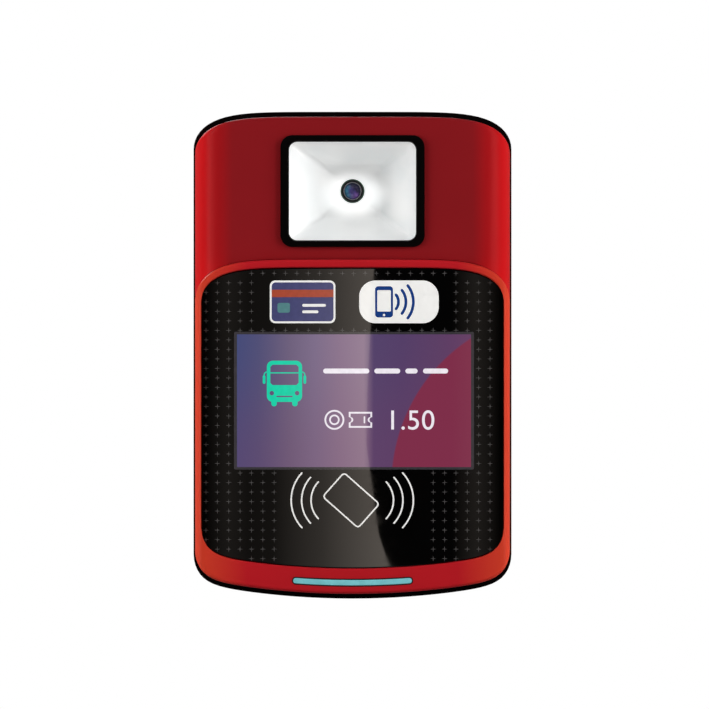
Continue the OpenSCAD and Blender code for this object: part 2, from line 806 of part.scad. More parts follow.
module speaker_frame() {
    wall_x = red_w - wall;
    color([0.2, 0.2, 0.2]) difference() {
        union() {
            cross_rod(wall_x - 8, wall_x, speaker_d, speaker_z, 9.8);
            cross_rod(wall_x - 12, wall_x - 7.99, speaker_d, speaker_z, 6);
        }
        cross_rod(wall_x - 6, wall_x + 1, speaker_d, speaker_z, 8.8);
    }
}

// Cone with a domed centre, drawn as half a section.
module speaker_cone() {
    x = red_w - wall - 3.4;
    color([0.1, 0.1, 0.1]) translate([x, -speaker_d, speaker_z]) rotate([0, 90, 0])
        rotate_extrude() polygon([[0, -0.4], [1.6, -0.6], [3, -1.2], [7.4, 0], [8.4, 0], [8.4, 0.6],
            [7.2, 0.6], [3.4, -0.4], [1.8, 0.4], [0, 0.6]]);
}

// ---------- cable connector ----------

module connector_shell() {
    color("silver") difference() {
        union() {
            rod(0, socket_z, socket_end, inner_back + 6, 7.95);
            rod(0, socket_z, back_d - 1.6, back_d, 10.5);
            translate([0, -inner_back, socket_z]) rotate([90, 0, 0])
                cylinder(h = 3, r = 11, $fn = 6);
        }
        rod(0, socket_z, socket_end - 1, inner_back + 7, 6.4);
    }
}

module connector_core() {
    color([0.1, 0.1, 0.1]) rod(0, socket_z, 13.5, inner_back + 5, 6.4);
    color("gold") {
        rod(0, socket_z, 10.2, 13.6, 0.6);
        for (a = [0:60:300])
            rod(3.9 * cos(a), socket_z + 3.9 * sin(a), 10.2, 13.6, 0.6);
    }
}

// ---------- lock ----------

module lock_body() {
    color("silver") difference() {
        union() {
            upright(0, lock_d, -half_h + 0.2, -half_h + 1.7, 7.1);
            upright(0, lock_d, -half_h + 1.69, cam_z - gap, 6);
            translate([0, -lock_d, -half_h + 5]) cylinder(h = 3, r = 9, $fn = 6);
        }
        upright(0, lock_d, -half_h - 1, cam_z + 1, bore_r);
    }
}

// Turning plug with its keyway, and the cam that swings out under the bracket's lower strip.
module lock_plug() {
    color("goldenrod") difference() {
        upright(0, lock_d, -half_h + 0.3, cam_z + 0.01, plug_r);
        block(-0.6, 0.6, lock_d - 2.6, lock_d + 2.6, -half_h - 1, -half_h + 6);
    }
    color("silver") {
        upright(0, lock_d, cam_z, cam_z + cam_t, 5);
        block(0, cam_len, lock_d - 3.5, lock_d + 3.5, cam_z, cam_z + cam_t);
    }
}

// ---------- service door ----------

// Side flap over the card bay, hinged at its lower edge.
module service_door() {
    knuckles = [[16.8, 21], [30, 34.2]];
    color([0.05, 0.05, 0.05]) difference() {
        union() {
            block(door_x, door_x + door_t, 16.7, 34.3, hinge_z + 2.2, 38.7);
            for (k = knuckles) {
                rod(hinge_x, hinge_z, k[0], k[1], knuckle_r);
                block(hinge_x - 1.7, hinge_x - 0.5, k[0], k[1], hinge_z, hinge_z + 3);
            }
        }
        rod(hinge_x, hinge_z, 16, 36, hinge_bore_r);
        cross_rod(door_x - 1, door_x + 0.9, catch_d, catch_z, 3.7);
        cross_rod(door_x - 1, door_x + door_t + 1, catch_d, catch_z, catch_r + 0.06);
    }
}

module hinge_pin() {
    color("silver") rod(hinge_x, hinge_z, 16.5, 34.5, hinge_pin_r);
}

// Quarter-turn catch: a coin-slotted head, and a blade that swings up behind the ledge.
module door_catch() {
    color("silver") difference() {
        union() {
            cross_rod(door_x + 0.1, door_x + 0.8, catch_d, catch_z, 3.4);
            cross_rod(door_x + 0.79, door_x + 4.6, catch_d, catch_z, catch_r);
            block(door_x + 3.6, door_x + 4.6, catch_d - 6.3, catch_d, catch_z - 2, catch_z + 2);
        }
        block(door_x - 1, door_x + 0.6, catch_d - 4, catch_d + 4, catch_z - 0.5, catch_z + 0.5);
    }
}

wall_bracket();
bracket_pads();
earth_screw();
rear_shell();
front_shell();
screen_bezel();
shell_gasket();
case_screws();
case_inserts();
bezel_screws();
mounting_studs();
stud_nuts();
vent_plug();
label_plate();
front_glass();
glass_adhesive();
lcd_panel();
lcd_frame();
display_tray();
display_flex();
antenna_board();
antenna_coil();
ferrite_sheet();
scanner_frame();
scanner_window();
window_seal();
reflector();
lens_barrel();
lens_ring();
lens_glass();
scanner_board();
scanner_leds();
scanner_bracket();
scanner_screws();
light_bar();
light_seal();
light_board();
main_board();
board_screws();
board_chips();
shield_cans();
modem_module();
board_connectors();
clock_cell();
sim_socket();
sam_socket();
service_port();
reset_switch();
reset_button();
sim_card();
sam_card();
speaker_frame();
speaker_cone();
connector_shell();
connector_core();
lock_body();
lock_plug();
service_door();
hinge_pin();
door_catch();
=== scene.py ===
import json
import math

import bmesh
import bpy
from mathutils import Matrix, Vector


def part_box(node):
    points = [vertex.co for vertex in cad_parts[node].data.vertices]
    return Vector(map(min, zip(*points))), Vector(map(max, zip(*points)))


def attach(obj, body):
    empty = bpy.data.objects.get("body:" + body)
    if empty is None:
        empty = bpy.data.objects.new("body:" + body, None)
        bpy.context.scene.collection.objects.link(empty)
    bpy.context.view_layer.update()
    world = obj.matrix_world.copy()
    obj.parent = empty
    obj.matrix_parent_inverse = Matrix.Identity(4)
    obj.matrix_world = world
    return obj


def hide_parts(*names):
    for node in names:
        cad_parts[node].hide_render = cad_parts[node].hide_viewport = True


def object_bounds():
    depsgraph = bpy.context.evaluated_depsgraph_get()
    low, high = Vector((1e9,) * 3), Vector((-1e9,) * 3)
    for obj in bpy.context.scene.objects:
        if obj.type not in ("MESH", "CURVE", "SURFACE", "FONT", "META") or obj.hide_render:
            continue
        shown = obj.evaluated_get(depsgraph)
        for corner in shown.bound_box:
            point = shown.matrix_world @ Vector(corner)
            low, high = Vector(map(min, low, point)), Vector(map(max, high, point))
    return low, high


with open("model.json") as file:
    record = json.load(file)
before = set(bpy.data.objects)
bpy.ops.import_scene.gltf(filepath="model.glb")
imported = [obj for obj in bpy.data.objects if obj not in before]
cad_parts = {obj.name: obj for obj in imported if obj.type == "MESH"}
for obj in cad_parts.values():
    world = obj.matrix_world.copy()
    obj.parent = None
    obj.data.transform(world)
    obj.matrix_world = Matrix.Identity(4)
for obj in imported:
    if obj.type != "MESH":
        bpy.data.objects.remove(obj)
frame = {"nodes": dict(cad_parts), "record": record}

CAD_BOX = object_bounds()
NODES = frame["nodes"]
MM = 0.001

# ---------------------------------------------------------------- driving sizes, from the frame

SHELL_LOW, SHELL_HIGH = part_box("front_shell")
BEZEL_LOW, BEZEL_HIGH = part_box("screen_bezel")
GLASS_LOW, GLASS_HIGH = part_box("front_glass")
SCAN_LOW, SCAN_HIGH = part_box("scanner_frame")
PANEL_LOW, PANEL_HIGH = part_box("lcd_panel")
BAR_LOW, BAR_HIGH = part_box("light_bar")
FUNNEL_LOW, FUNNEL_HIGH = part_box("reflector")

RED_W = SHELL_HIGH.x                # half width of the red mouldings
GLASS_W = GLASS_HIGH.x
CREST = -BEZEL_LOW.y                # depths are measured from the wall
FACE = -SHELL_LOW.y
GLASS_CREST = -GLASS_LOW.y
GLASS_R = 1156 * MM                 # radius of the glass about an upright axis
GLASS_T = 3 * MM
BOW_R = 632 * MM                    # twice the radius of the bowed lower edges
SCAN_Z = (SCAN_LOW.z + SCAN_HIGH.z) / 2
SCAN_W = SCAN_HIGH.x - SCAN_LOW.x
SCAN_H = SCAN_HIGH.z - SCAN_LOW.z
WINDOW_W = SCAN_W - 6.8 * MM
WINDOW_H = SCAN_H - 5.3 * MM
PICTURE_X = (PANEL_LOW.x + PANEL_HIGH.x) / 2
PICTURE_Z = (PANEL_LOW.z + PANEL_HIGH.z) / 2
PICTURE_W = PANEL_HIGH.x - PANEL_LOW.x - 6 * MM
PICTURE_H = PANEL_HIGH.z - PANEL_LOW.z - 6 * MM
BAR_LEN = BAR_HIGH.x - BAR_LOW.x
BAR_H = 2.2 * MM
BAR_Z = BAR_LOW.z + BAR_H / 2       # middle of the light bar at its lowest point


# ---------------------------------------------------------------- materials

def srgb(r, g, b, a=1.0):
    """Linear colour from 0-255 screen values."""
    def lin(c):
        c /= 255
        return c / 12.92 if c <= 0.04045 else ((c + 0.055) / 1.055) ** 2.4
    return (lin(r), lin(g), lin(b), a)


class Graph:
    """Short names for the nodes of one material."""

    def __init__(self, name):
        self.mat = bpy.data.materials.new(name)
        self.mat.use_nodes = True
        self.tree = self.mat.node_tree
        self.shader = self.tree.nodes["Principled BSDF"]
        self.coord = self.add("ShaderNodeTexCoord").outputs["Object"]

    def add(self, kind, **settings):
        node = self.tree.nodes.new(kind)
        for key, value in settings.items():
            setattr(node, key, value)
        return node

    def link(self, a, b):
        self.tree.links.new(a, b)

    def set(self, **values):
        """Constants on the shader's own sockets; underscores stand for spaces."""
        for key, value in values.items():
            self.shader.inputs[key.replace("_", " ")].default_value = value

    def feed(self, socket, value):
        if isinstance(value, bpy.types.NodeSocket):
            self.link(value, socket)
        else:
            socket.default_value = value

    def noise(self, scale, detail=2.0, rough=0.5, stretch=None):
        node = self.add("ShaderNodeTexNoise")
        node.inputs["Scale"].default_value = scale
        node.inputs["Detail"].default_value = detail
        node.inputs["Roughness"].default_value = rough
        source = self.coord
        if stretch:
            mapping = self.add("ShaderNodeMapping")
            mapping.inputs["Scale"].default_value = stretch
            self.link(self.coord, mapping.inputs["Vector"])
            source = mapping.outputs["Vector"]
        self.link(source, node.inputs["Vector"])
        return node.outputs["Fac"]

    def ramp(self, value, low, high, to_low, to_high, smooth=False):
        node = self.add("ShaderNodeMapRange")
        node.interpolation_type = "SMOOTHSTEP" if smooth else "LINEAR"
        self.link(value, node.inputs["Value"])
        for key, v in (("From Min", low), ("From Max", high), ("To Min", to_low), ("To Max", to_high)):
            node.inputs[key].default_value = v
        return node.outputs["Result"]

    def math(self, kind, a, b=0.0):
        node = self.add("ShaderNodeMath", operation=kind)
        self.feed(node.inputs[0], a)
        self.feed(node.inputs[1], b)
        return node.outputs[0]

    def mix(self, factor, a, b):
        node = self.add("ShaderNodeMix", data_type="RGBA")
        self.feed(node.inputs[0], factor)
        self.feed(node.inputs[6], a)
        self.feed(node.inputs[7], b)
        return node.outputs[2]

    def axis(self, name):
        node = self.add("ShaderNodeSeparateXYZ")
        self.link(self.coord, node.inputs[0])
        return node.outputs[name]

    def bump(self, height, strength, distance):
        node = self.add("ShaderNodeBump")
        node.inputs["Strength"].default_value = strength
        node.inputs["Distance"].default_value = distance
        self.link(height, node.inputs["Height"])
        self.link(node.outputs["Normal"], self.shader.inputs["Normal"])

    def base(self, colour):
        self.feed(self.shader.inputs["Base Color"], colour)

    def rough(self, value):
        self.feed(self.shader.inputs["Roughness"], value)


def scaled(colour, k):
    return tuple(min(1.0, c * k) for c in colour[:3]) + (1.0,)


def moulded(name, colour, rough, grain=2600, depth=0.00002, strength=0.35, spread=0.12, **more):
    """Moulded plastic or rubber: fine spark texture, faint mottling, and light rubbing."""
    g = Graph(name)
    broad = g.noise(38, 3)
    g.base(g.mix(g.ramp(broad, 0.3, 0.7, 0.0, 1.0), scaled(colour, 0.9), scaled(colour, 1.1)))
    rub = g.noise(220, 4, 0.6)
    g.rough(g.ramp(rub, 0.35, 0.7, rough, rough + spread))
    g.bump(g.noise(grain, 2), strength, depth)
    g.set(**more)
    return g.mat


def metal(name, colour, rough, brush=None, **more):
    """Plated or machined metal, with brushing along one axis when brush is given."""
    g = Graph(name)
    stain = g.noise(60, 3)
    g.base(g.mix(g.ramp(stain, 0.35, 0.65, 0.0, 1.0), scaled(colour, 0.86), scaled(colour, 1.06)))
    marks = g.noise(900, 3, 0.6, brush)
    g.rough(g.ramp(marks, 0.3, 0.7, rough * 0.75, rough * 1.3))
    g.bump(marks, 0.25, 0.00002)
    g.set(Metallic=1.0, **more)
    return g.mat


def red_with_painted_side_light(name, centre, side, reach):
    """Smooth red moulding whose colour brightens towards the rounded sides, a painted highlight for the
    side light they catch; with a trace of orange peel.
    """
    g = Graph(name)
    across = g.math("ABSOLUTE", g.axis("X"))
    # painted highlight: the side colour takes over near the rounded sides, standing in for side light
    edge = g.ramp(across, RED_W - reach, RED_W - 1 * MM, 0.0, 1.0)
    broad = g.ramp(g.noise(26, 2), 0.35, 0.65, 0.0, 1.0)
    inner = g.mix(broad, scaled(centre, 0.97), scaled(centre, 1.03))
    g.base(g.mix(edge, inner, side))
    scuff = g.noise(300, 5, 0.65)
    g.rough(g.ramp(scuff, 0.4, 0.75, 0.3, 0.4))
    g.bump(g.noise(1500, 2), 0.12, 0.00001)
    g.set(Specular_IOR_Level=0.1)
    return g.mat


def black_glass(name, colour):
    """Polished cover glass over black print: nearly black, with the faintest handling marks."""
    g = Graph(name)
    g.base(g.mix(g.ramp(g.noise(45, 2), 0.4, 0.6, 0, 1), colour, scaled(colour, 1.25)))
    smear = g.noise(120, 5, 0.6, (1, 1, 2.5))
    g.rough(g.ramp(smear, 0.45, 0.8, 0.02, 0.05))
    g.set(IOR=1.5, Specular_IOR_Level=0.5)
    return g.mat


def printed(name, colour, glow=0.0, lit=False, rough=0.04):
    """Ink or screen light seen through the cover glass, so it has the glass's own gloss. With lit, the
    colour is the screen's own light; a glow on unlit ink is painted brightness.
    """
    g = Graph(name)
    tint = g.mix(g.ramp(g.noise(500, 2), 0.35, 0.65, 0, 1), scaled(colour, 0.94), scaled(colour, 1.04))
    if lit:
        g.set(Base_Color=(0.004, 0.004, 0.005, 1))
    else:
        g.base(tint)
    g.rough(g.ramp(g.noise(120, 5, 0.6), 0.45, 0.8, rough * 0.5, rough + 0.02))
    # on unlit ink this glow is painted light; the ink is no lamp
    if glow:
        g.feed(g.shader.inputs["Emission Color"], tint)
        g.set(Emission_Strength=glow)
    return g.mat


def picture_material():
    """Lit wallpaper: slate blue to pale mauve, then plum, with a maroon disc at the lower right; the
    paler left part, with its soft edge near x = +6 mm, is partly a painted reflection of the window.
    """
    g = Graph("picture_wallpaper")
    x, z = g.axis("X"), g.axis("Z")
    shade = g.add("ShaderNodeValToRGB")
    stops = shade.color_ramp
    low_x, high_x = -47 * MM, 48 * MM
    # wallpaper colours, plus a painted reflection: lighter up to a soft edge between +4.5 and +8.5 mm, in
    # line with the reflected window card
    wallpaper_and_painted_reflection_bands = ((-46, (66, 72, 118)), (-38, (78, 77, 117)), (-25, (106, 92, 122)), (-15, (119, 102, 133)),
             (-5, (130, 105, 133)), (4.5, (136, 111, 136)), (8.5, (84, 66, 106)), (20, (84, 62, 103)),
             (35, (92, 62, 100)))
    stops.elements[0].color = srgb(52, 74, 124)
    stops.elements[1].color = srgb(100, 60, 98)
    for at, colour in wallpaper_and_painted_reflection_bands:
        stops.elements.new((at * MM - low_x) / (high_x - low_x)).color = srgb(*colour)
    g.link(g.ramp(x, low_x, high_x, 0.0, 1.0), shade.inputs["Fac"])
    low = g.ramp(z, PICTURE_Z - PICTURE_H / 2, PICTURE_Z + PICTURE_H / 2, 1.0, 0.0, True)
    warm = g.mix(g.math("MULTIPLY", low, 0.3), shade.outputs["Color"], srgb(112, 62, 96))
    disc_x, disc_z, disc_r = PICTURE_X + 85.4 * MM, PICTURE_Z - 33.8 * MM, 70.3 * MM
    dx = g.math("SUBTRACT", x, disc_x)
    dz = g.math("SUBTRACT", z, disc_z)
    away = g.math("SQRT", g.math("ADD", g.math("MULTIPLY", dx, dx), g.math("MULTIPLY", dz, dz)))
    inside = g.ramp(away, disc_r - 0.3 * MM, disc_r + 0.3 * MM, 1.0, 0.0)
    tint = g.mix(inside, warm, srgb(125, 45, 72))
    g.set(Base_Color=(0.004, 0.004, 0.005, 1), Emission_Strength=1.0)
    g.feed(g.shader.inputs["Emission Color"], tint)
    g.rough(g.ramp(g.noise(120, 5, 0.6), 0.45, 0.8, 0.02, 0.05))
    return g.mat


def reflector_material():
    """Smooth white funnel with painted light: it glows as if lit through from lamps behind it, brightest
    round the lens, and each sloping panel gets its own painted light level (left highest, right lowest,
    lower above upper).
    """
    g = Graph("reflector_white")
    x, z = g.axis("X"), g.axis("Z")
    dz = g.math("SUBTRACT", z, SCAN_Z)
    # the glow is painted light; its bright patch is wider than tall
    flat = g.math("MULTIPLY", x, 0.75)                         # the bright patch is wider than tall
    low = g.math("ADD", dz, 1.5 * MM)
    away = g.math("SQRT", g.math("ADD", g.math("MULTIPLY", flat, flat), g.math("MULTIPLY", low, low)))
    white = g.mix(g.ramp(g.noise(90, 2), 0.35, 0.65, 0, 1), srgb(236, 238, 238), srgb(246, 246, 245))
    g.base(white)
    g.feed(g.shader.inputs["Emission Color"], white)
    tall = g.math("DIVIDE", g.math("ABSOLUTE", dz), WINDOW_H / 2)
    wide = g.math("DIVIDE", g.math("ABSOLUTE", x), WINDOW_W / 2)
    upright = g.ramp(g.math("SUBTRACT", tall, wide), -0.03, 0.03, 0.0, 1.0)
    # painted light levels of the four sloping panels, standing in for light falling from one side
    painted_side_light_levels = g.ramp(x, -1 * MM, 1 * MM, 0.42, 0.165)        # left panel, right panel
    painted_top_bottom_light_levels = g.ramp(dz, -1 * MM, 1 * MM, 0.255, 0.225)      # lower panel, upper panel
    steps = g.math("SUBTRACT", painted_top_bottom_light_levels, painted_side_light_levels)
    painted_panel_light = g.math("ADD", painted_side_light_levels, g.math("MULTIPLY", upright, steps))
    # painted glow, brightest round the lens
    centre = g.ramp(away, 5 * MM, 11.5 * MM, 1.0, 0.0, True)
    painted_centre_glow_rise = g.math("MULTIPLY", centre, g.math("SUBTRACT", 0.84, painted_panel_light))
    glow = g.math("ADD", painted_panel_light, painted_centre_glow_rise)
    g.feed(g.shader.inputs["Emission Strength"], glow)
    g.rough(g.ramp(g.noise(400, 3), 0.4, 0.7, 0.38, 0.46))
    g.bump(g.noise(2200, 2), 0.1, 0.00001)
    return g.mat


def lens_material():
    """Coated lens with painted reflection and shade: deep blue with violet and teal patches placed by
    position and given a glow for the coating's coloured reflections, a dark wedge at the upper right and
    a darker rim.
    """
    g = Graph("lens_coating_painted_reflection")
    x, z = g.axis("X"), g.math("SUBTRACT", g.axis("Z"), SCAN_Z)
    away = g.math("SQRT", g.math("ADD", g.math("MULTIPLY", x, x), g.math("MULTIPLY", z, z)))
    # painted reflection: teal to violet across the lens by position, for the coating's coloured
    # reflections
    coat = g.mix(g.ramp(x, -2.4 * MM, 1.0 * MM, 0, 1, True), srgb(44, 110, 138), srgb(104, 70, 138))
    ring = g.ramp(away, 0.6 * MM, 2.2 * MM, 0.0, 1.0, True)
    tint = g.mix(ring, srgb(56, 44, 104), coat)
    # painted shade: a dark wedge towards the upper right, and darker towards the rim
    shade = g.ramp(g.math("ADD", x, z), 0.0, 2.2 * MM, 0.0, 0.92, True)
    rim = g.ramp(away, 2.4 * MM, 3.3 * MM, 0.0, 0.8, True)
    tint = g.mix(rim, g.mix(shade, tint, srgb(12, 12, 34)), srgb(10, 16, 30))
    swirl = g.ramp(g.noise(900, 3), 0.4, 0.62, 0.0, 0.5)
    tint = g.mix(swirl, tint, srgb(16, 22, 58))
    g.base(tint)
    g.feed(g.shader.inputs["Emission Color"], tint)
    # the glow makes this painted light; the lens is no lamp
    g.set(Emission_Strength=0.7, IOR=1.6)
    g.rough(g.ramp(g.noise(900, 3), 0.4, 0.8, 0.03, 0.07))
    return g.mat


def clear_pane():
    """Thin clear window, all but invisible."""
    g = Graph("pane_clear")
    g.base(g.mix(g.ramp(g.noise(60, 2), 0.4, 0.6, 0, 1), (0.9, 0.95, 1, 1), (0.95, 0.98, 1, 1)))
    g.rough(g.ramp(g.noise(150, 4), 0.45, 0.8, 0.02, 0.06))
    g.set(Alpha=0.012, Specular_IOR_Level=0.1)
    return g.mat


def bar_material():
    """Translucent light bar, lit from within by five lamps."""
    g = Graph("bar_cyan")
    pitch = BAR_LEN / 5
    wave = g.math("COSINE", g.math("MULTIPLY", g.axis("X"), 2 * math.pi / pitch))
    glow = g.ramp(wave, -1, 1, 0.4, 0.47)
    tint = g.mix(g.ramp(g.noise(400, 2), 0.35, 0.65, 0, 1), srgb(112, 184, 191), srgb(120, 190, 197))
    g.base(tint)
    g.feed(g.shader.inputs["Emission Color"], tint)
    g.feed(g.shader.inputs["Emission Strength"], glow)
    g.rough(g.ramp(g.noise(250, 3), 0.4, 0.7, 0.22, 0.3))
    return g.mat


def floor_paper():
    """Pale seamless paper, evenly lit."""
    g = Graph("floor_paper")
    pale = g.mix(g.noise(9, 3), (0.95, 0.95, 0.94, 1), (1.0, 1.0, 0.99, 1))
    g.base(g.mix(g.noise(9, 3), (0.17, 0.17, 0.167, 1), (0.19, 0.19, 0.187, 1)))
    g.feed(g.shader.inputs["Emission Color"], pale)
    g.set(Emission_Strength=0.86, Roughness=0.9)
    return g.mat


def board_material():
    """Lacquered circuit board with a fine pattern of tracks under the lacquer."""
    g = Graph("board_lacquer")
    tracks = g.add("ShaderNodeTexBrick")
    tracks.inputs["Scale"].default_value = 140
    tracks.inputs["Mortar Size"].default_value = 0.03
    tracks.inputs["Color1"].default_value = (0.008, 0.09, 0.04, 1)
    tracks.inputs["Color2"].default_value = (0.01, 0.12, 0.05, 1)
    tracks.inputs["Mortar"].default_value = (0.03, 0.2, 0.09, 1)
    mapping = g.add("ShaderNodeMapping")
    mapping.inputs["Rotation"].default_value = (math.pi / 2, 0, 0)
    g.link(g.coord, mapping.inputs["Vector"])
    g.link(mapping.outputs["Vector"], tracks.inputs["Vector"])
    g.base(tracks.outputs["Color"])
    g.rough(g.ramp(g.noise(300, 3), 0.4, 0.7, 0.3, 0.42))
    g.bump(tracks.outputs["Fac"], 0.3, 0.00003)
    return g.mat


MATERIALS = {
    "bracket_coat": moulded("bracket_coat", (0.07, 0.072, 0.076), 0.5, 1300, 0.00006, 0.6),
    "rubber": moulded("rubber_black", (0.012, 0.012, 0.012), 0.75),
    "brass": metal("brass_turned", (0.72, 0.52, 0.24), 0.3),
    "black_case": moulded("case_black", (0.0028, 0.0022, 0.0022), 0.46, Specular_IOR_Level=0.08),
    # the second colour is a painted highlight at the rounded sides: brighter red on the shell, orange on
    # the rim
    "deep_red": red_with_painted_side_light("red_deep", srgb(161, 31, 37), srgb(230, 18, 23), 15 * MM),
    "bright_red": red_with_painted_side_light("red_bright", srgb(217, 34, 44), srgb(246, 76, 50), 21 * MM),
    "steel": metal("steel_zinc", (0.62, 0.62, 0.64), 0.34),
    "black_plastic": moulded("plastic_black", (0.018, 0.018, 0.02), 0.5),
    "label": moulded("label_foil", (0.6, 0.61, 0.62), 0.32, 3000, 0.00001, 0.1),
    "screen_glass": black_glass("glass_black", (0.0016, 0.0014, 0.0014, 1)),
    "adhesive": moulded("adhesive_foam", (0.02, 0.02, 0.02), 0.9),
    "picture": picture_material(),
    "tinned_steel": metal("steel_tinned", (0.66, 0.66, 0.65), 0.3, (1, 8, 1)),
    "flex": moulded("flex_film", (0.42, 0.2, 0.04), 0.3),
    "board_green": board_material(),
    "copper": metal("copper_track", (0.75, 0.38, 0.2), 0.35),
    "ferrite": moulded("ferrite_sheet", (0.03, 0.03, 0.033), 0.7),
    "clear_pane": clear_pane(),
    "white_reflector": reflector_material(),
    "lens_black": moulded("lens_anodised", (0.004, 0.004, 0.005), 0.4, Specular_IOR_Level=0.2),
    "lens_metal": metal("lens_turned", (0.78, 0.78, 0.8), 0.42),
    "lens_glass": lens_material(),
    "lamp_white": moulded("lamp_white", (0.8, 0.8, 0.76), 0.4),
    "cyan_bar": bar_material(),
    "chip_black": moulded("chip_epoxy", (0.012, 0.012, 0.014), 0.6),
    "ivory": moulded("nylon_ivory", (0.66, 0.62, 0.5), 0.45),
    "cell_steel": metal("cell_steel", (0.6, 0.6, 0.6), 0.25, (1, 1, 6)),
    "button_red": moulded("button_red", (0.4, 0.02, 0.02), 0.4),
    "card_white": moulded("card_white", (0.75, 0.75, 0.74), 0.3),
    "card_blue": moulded("card_blue", (0.12, 0.2, 0.45), 0.3),
    "cone_paper": moulded("cone_paper", (0.02, 0.02, 0.022), 0.85, 1800, 0.00008, 0.8),
    "nickel": metal("nickel_plated", (0.63, 0.61, 0.57), 0.22),
    "lock_steel": metal("lock_steel", (0.55, 0.53, 0.48), 0.3, (1, 1, 5)),
}


# ---------------------------------------------------------------- mesh helpers

def place(obj):
    """Puts an object into the scene."""
    bpy.context.scene.collection.objects.link(obj)


def smooth(mesh, degrees=28):
    """Smooth shading that keeps edges sharper than the angle."""
    for p in mesh.polygons:
        p.use_smooth = True
    mesh.set_sharp_from_angle(angle=math.radians(degrees))


def piece(name, mesh, slot, body="housing", replaces=(), material=None, degrees=28):
    """Object that rides on a body, with its slot's material unless another material is given, in place of
    the nodes it replaces, which are hidden.
    """
    obj = bpy.data.objects.new(name, mesh)
    place(obj)
    mesh.materials.clear()
    mesh.materials.append(material or MATERIALS[slot])
    smooth(mesh, degrees)
    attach(obj, body)
    if replaces:
        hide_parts(*replaces)
    return obj


def to_mesh(name, bm):
    bmesh.ops.recalc_face_normals(bm, faces=bm.faces)
    mesh = bpy.data.meshes.new(name)
    bm.to_mesh(mesh)
    bm.free()
    return mesh


def loft(name, rings, strips=False):
    """Closed solid through equal rings of points; strips caps each end with upright strips."""
    bm = bmesh.new()
    rows = [[bm.verts.new(p) for p in ring] for ring in rings]
    n = len(rows[0])
    for a, b in zip(rows, rows[1:]):
        for i in range(n):
            j = (i + 1) % n
            bm.faces.new((a[i], a[j], b[j], b[i]))
    for row in (rows[0], rows[-1]):
        if not strips:
            bm.faces.new(row)
            continue
        half = n // 2                      # the ring runs from the top centre, clockwise
        quarter = half // 2
        for side in (1, -1):
            for i in range(quarter):
                top = [row[(side * k) % n] for k in (i, i + 1)]
                low = [row[(half - side * k) % n] for k in (i, i + 1)]
                corners = [top[0], top[1], low[1], low[0]]
                bm.faces.new([v for k, v in enumerate(corners) if v not in corners[:k]])
    return to_mesh(name, bm)


def cut(mesh, *cutters):
    """The mesh with each cutter taken out of it."""
    obj = bpy.data.objects.new("work", mesh)
    place(obj)
    tools = []
    for c in cutters:
        tool = bpy.data.objects.new("tool", c)
        place(tool)
        tools.append(tool)
        modifier = obj.modifiers.new("cut", "BOOLEAN")
        modifier.operation = "DIFFERENCE"
        modifier.solver = "EXACT"
        modifier.object = tool
    bpy.context.view_layer.update()
    depsgraph = bpy.context.evaluated_depsgraph_get()
    result = bpy.data.meshes.new_from_object(obj.evaluated_get(depsgraph))
    for o in [obj, *tools]:
        bpy.data.objects.remove(o)
    return result


QUARTER = 40               # segments in each quarter of an outline
CORNER = 0.45              # corner radius of a moulding's front face, as a share of its side radius


def share(i):
    """Place of point i on a quarter outline, crowded towards its round end."""
    return 1 - (1 - i / QUARTER) ** 2


def fall(u, drop, sharp):
    """Drop of a rounded edge at u, from 0 in the middle to 1 at the end."""
    return drop * (1 - math.sqrt(max(0.0, 1 - min(1.0, abs(u)) ** sharp)))


def crown(hw, top, drop):
    """Top edge as a height for each x."""
    return lambda x: top - fall(x / hw, drop, 6)


def sag(hw, bottom, drop):
    """Bowed bottom edge as a height for each x."""
    return lambda x: bottom + x * x / BOW_R + fall(x / hw, drop, 14)


def outline(w, top, bottom, depth, inset=0.0, corner=0.0):
    """Ring at one depth: out to +-w, between two edges drawn in by inset, with rounded corners."""
    def turn(x):
        past = max(0.0, x - w + corner)
        return corner - math.sqrt(max(0.0, corner * corner - past * past))

    right = [w * share(i) for i in range(QUARTER + 1)]
    upper = [(x, top(x) - inset - turn(x)) for x in right]
    lower = [(x, bottom(x) + inset + turn(x)) for x in right]
    loop = upper + lower[::-1] + [(-x, z) for x, z in lower[1:]] + [(-x, z) for x, z in upper[:0:-1]]
    at = depth if callable(depth) else (lambda x: depth)
    return [(x, -at(x), z) for x, z in loop]


def moulding(name, hw, top, bottom, back, front, side_r, edge_r, shrink=0.0):
    """Moulding with rounded sides and a small fillet along its top and bottom front edges."""
    fullness = 2.25            # slightly squarer than a circle, so the flat runs softly into the round
    depths = {back, front - side_r}
    depths |= {front - side_r + side_r * math.sin(math.radians(a)) for a in range(4, 91, 4)}
    depths |= {front - edge_r + edge_r * math.sin(math.radians(a)) for a in range(0, 91, 15)}
    depths.add(front)
    rings = []
    for d in sorted(round(v, 7) for v in depths):
        s = min(1.0, max(0.0, (d - front + side_r) / side_r))
        e = min(1.0, max(0.0, (d - front + edge_r) / edge_r))
        narrowing = 1 - (1 - s ** fullness) ** (1 / fullness)
        inset = edge_r * (1 - math.sqrt(1 - e * e)) + shrink
        rings.append(outline(hw - side_r * narrowing, top, bottom, d, inset, CORNER * side_r * narrowing))
    guard = outline(hw - side_r - 1 * MM, top, bottom, front, edge_r + shrink + 0.5 * MM, CORNER * side_r)
    return loft(name, rings + [guard], True)


def prism(name, points, back, front):
    """Straight solid between two depths."""
    return loft(name, [[(x, -d, z) for x, z in points] for d in (back, front)])


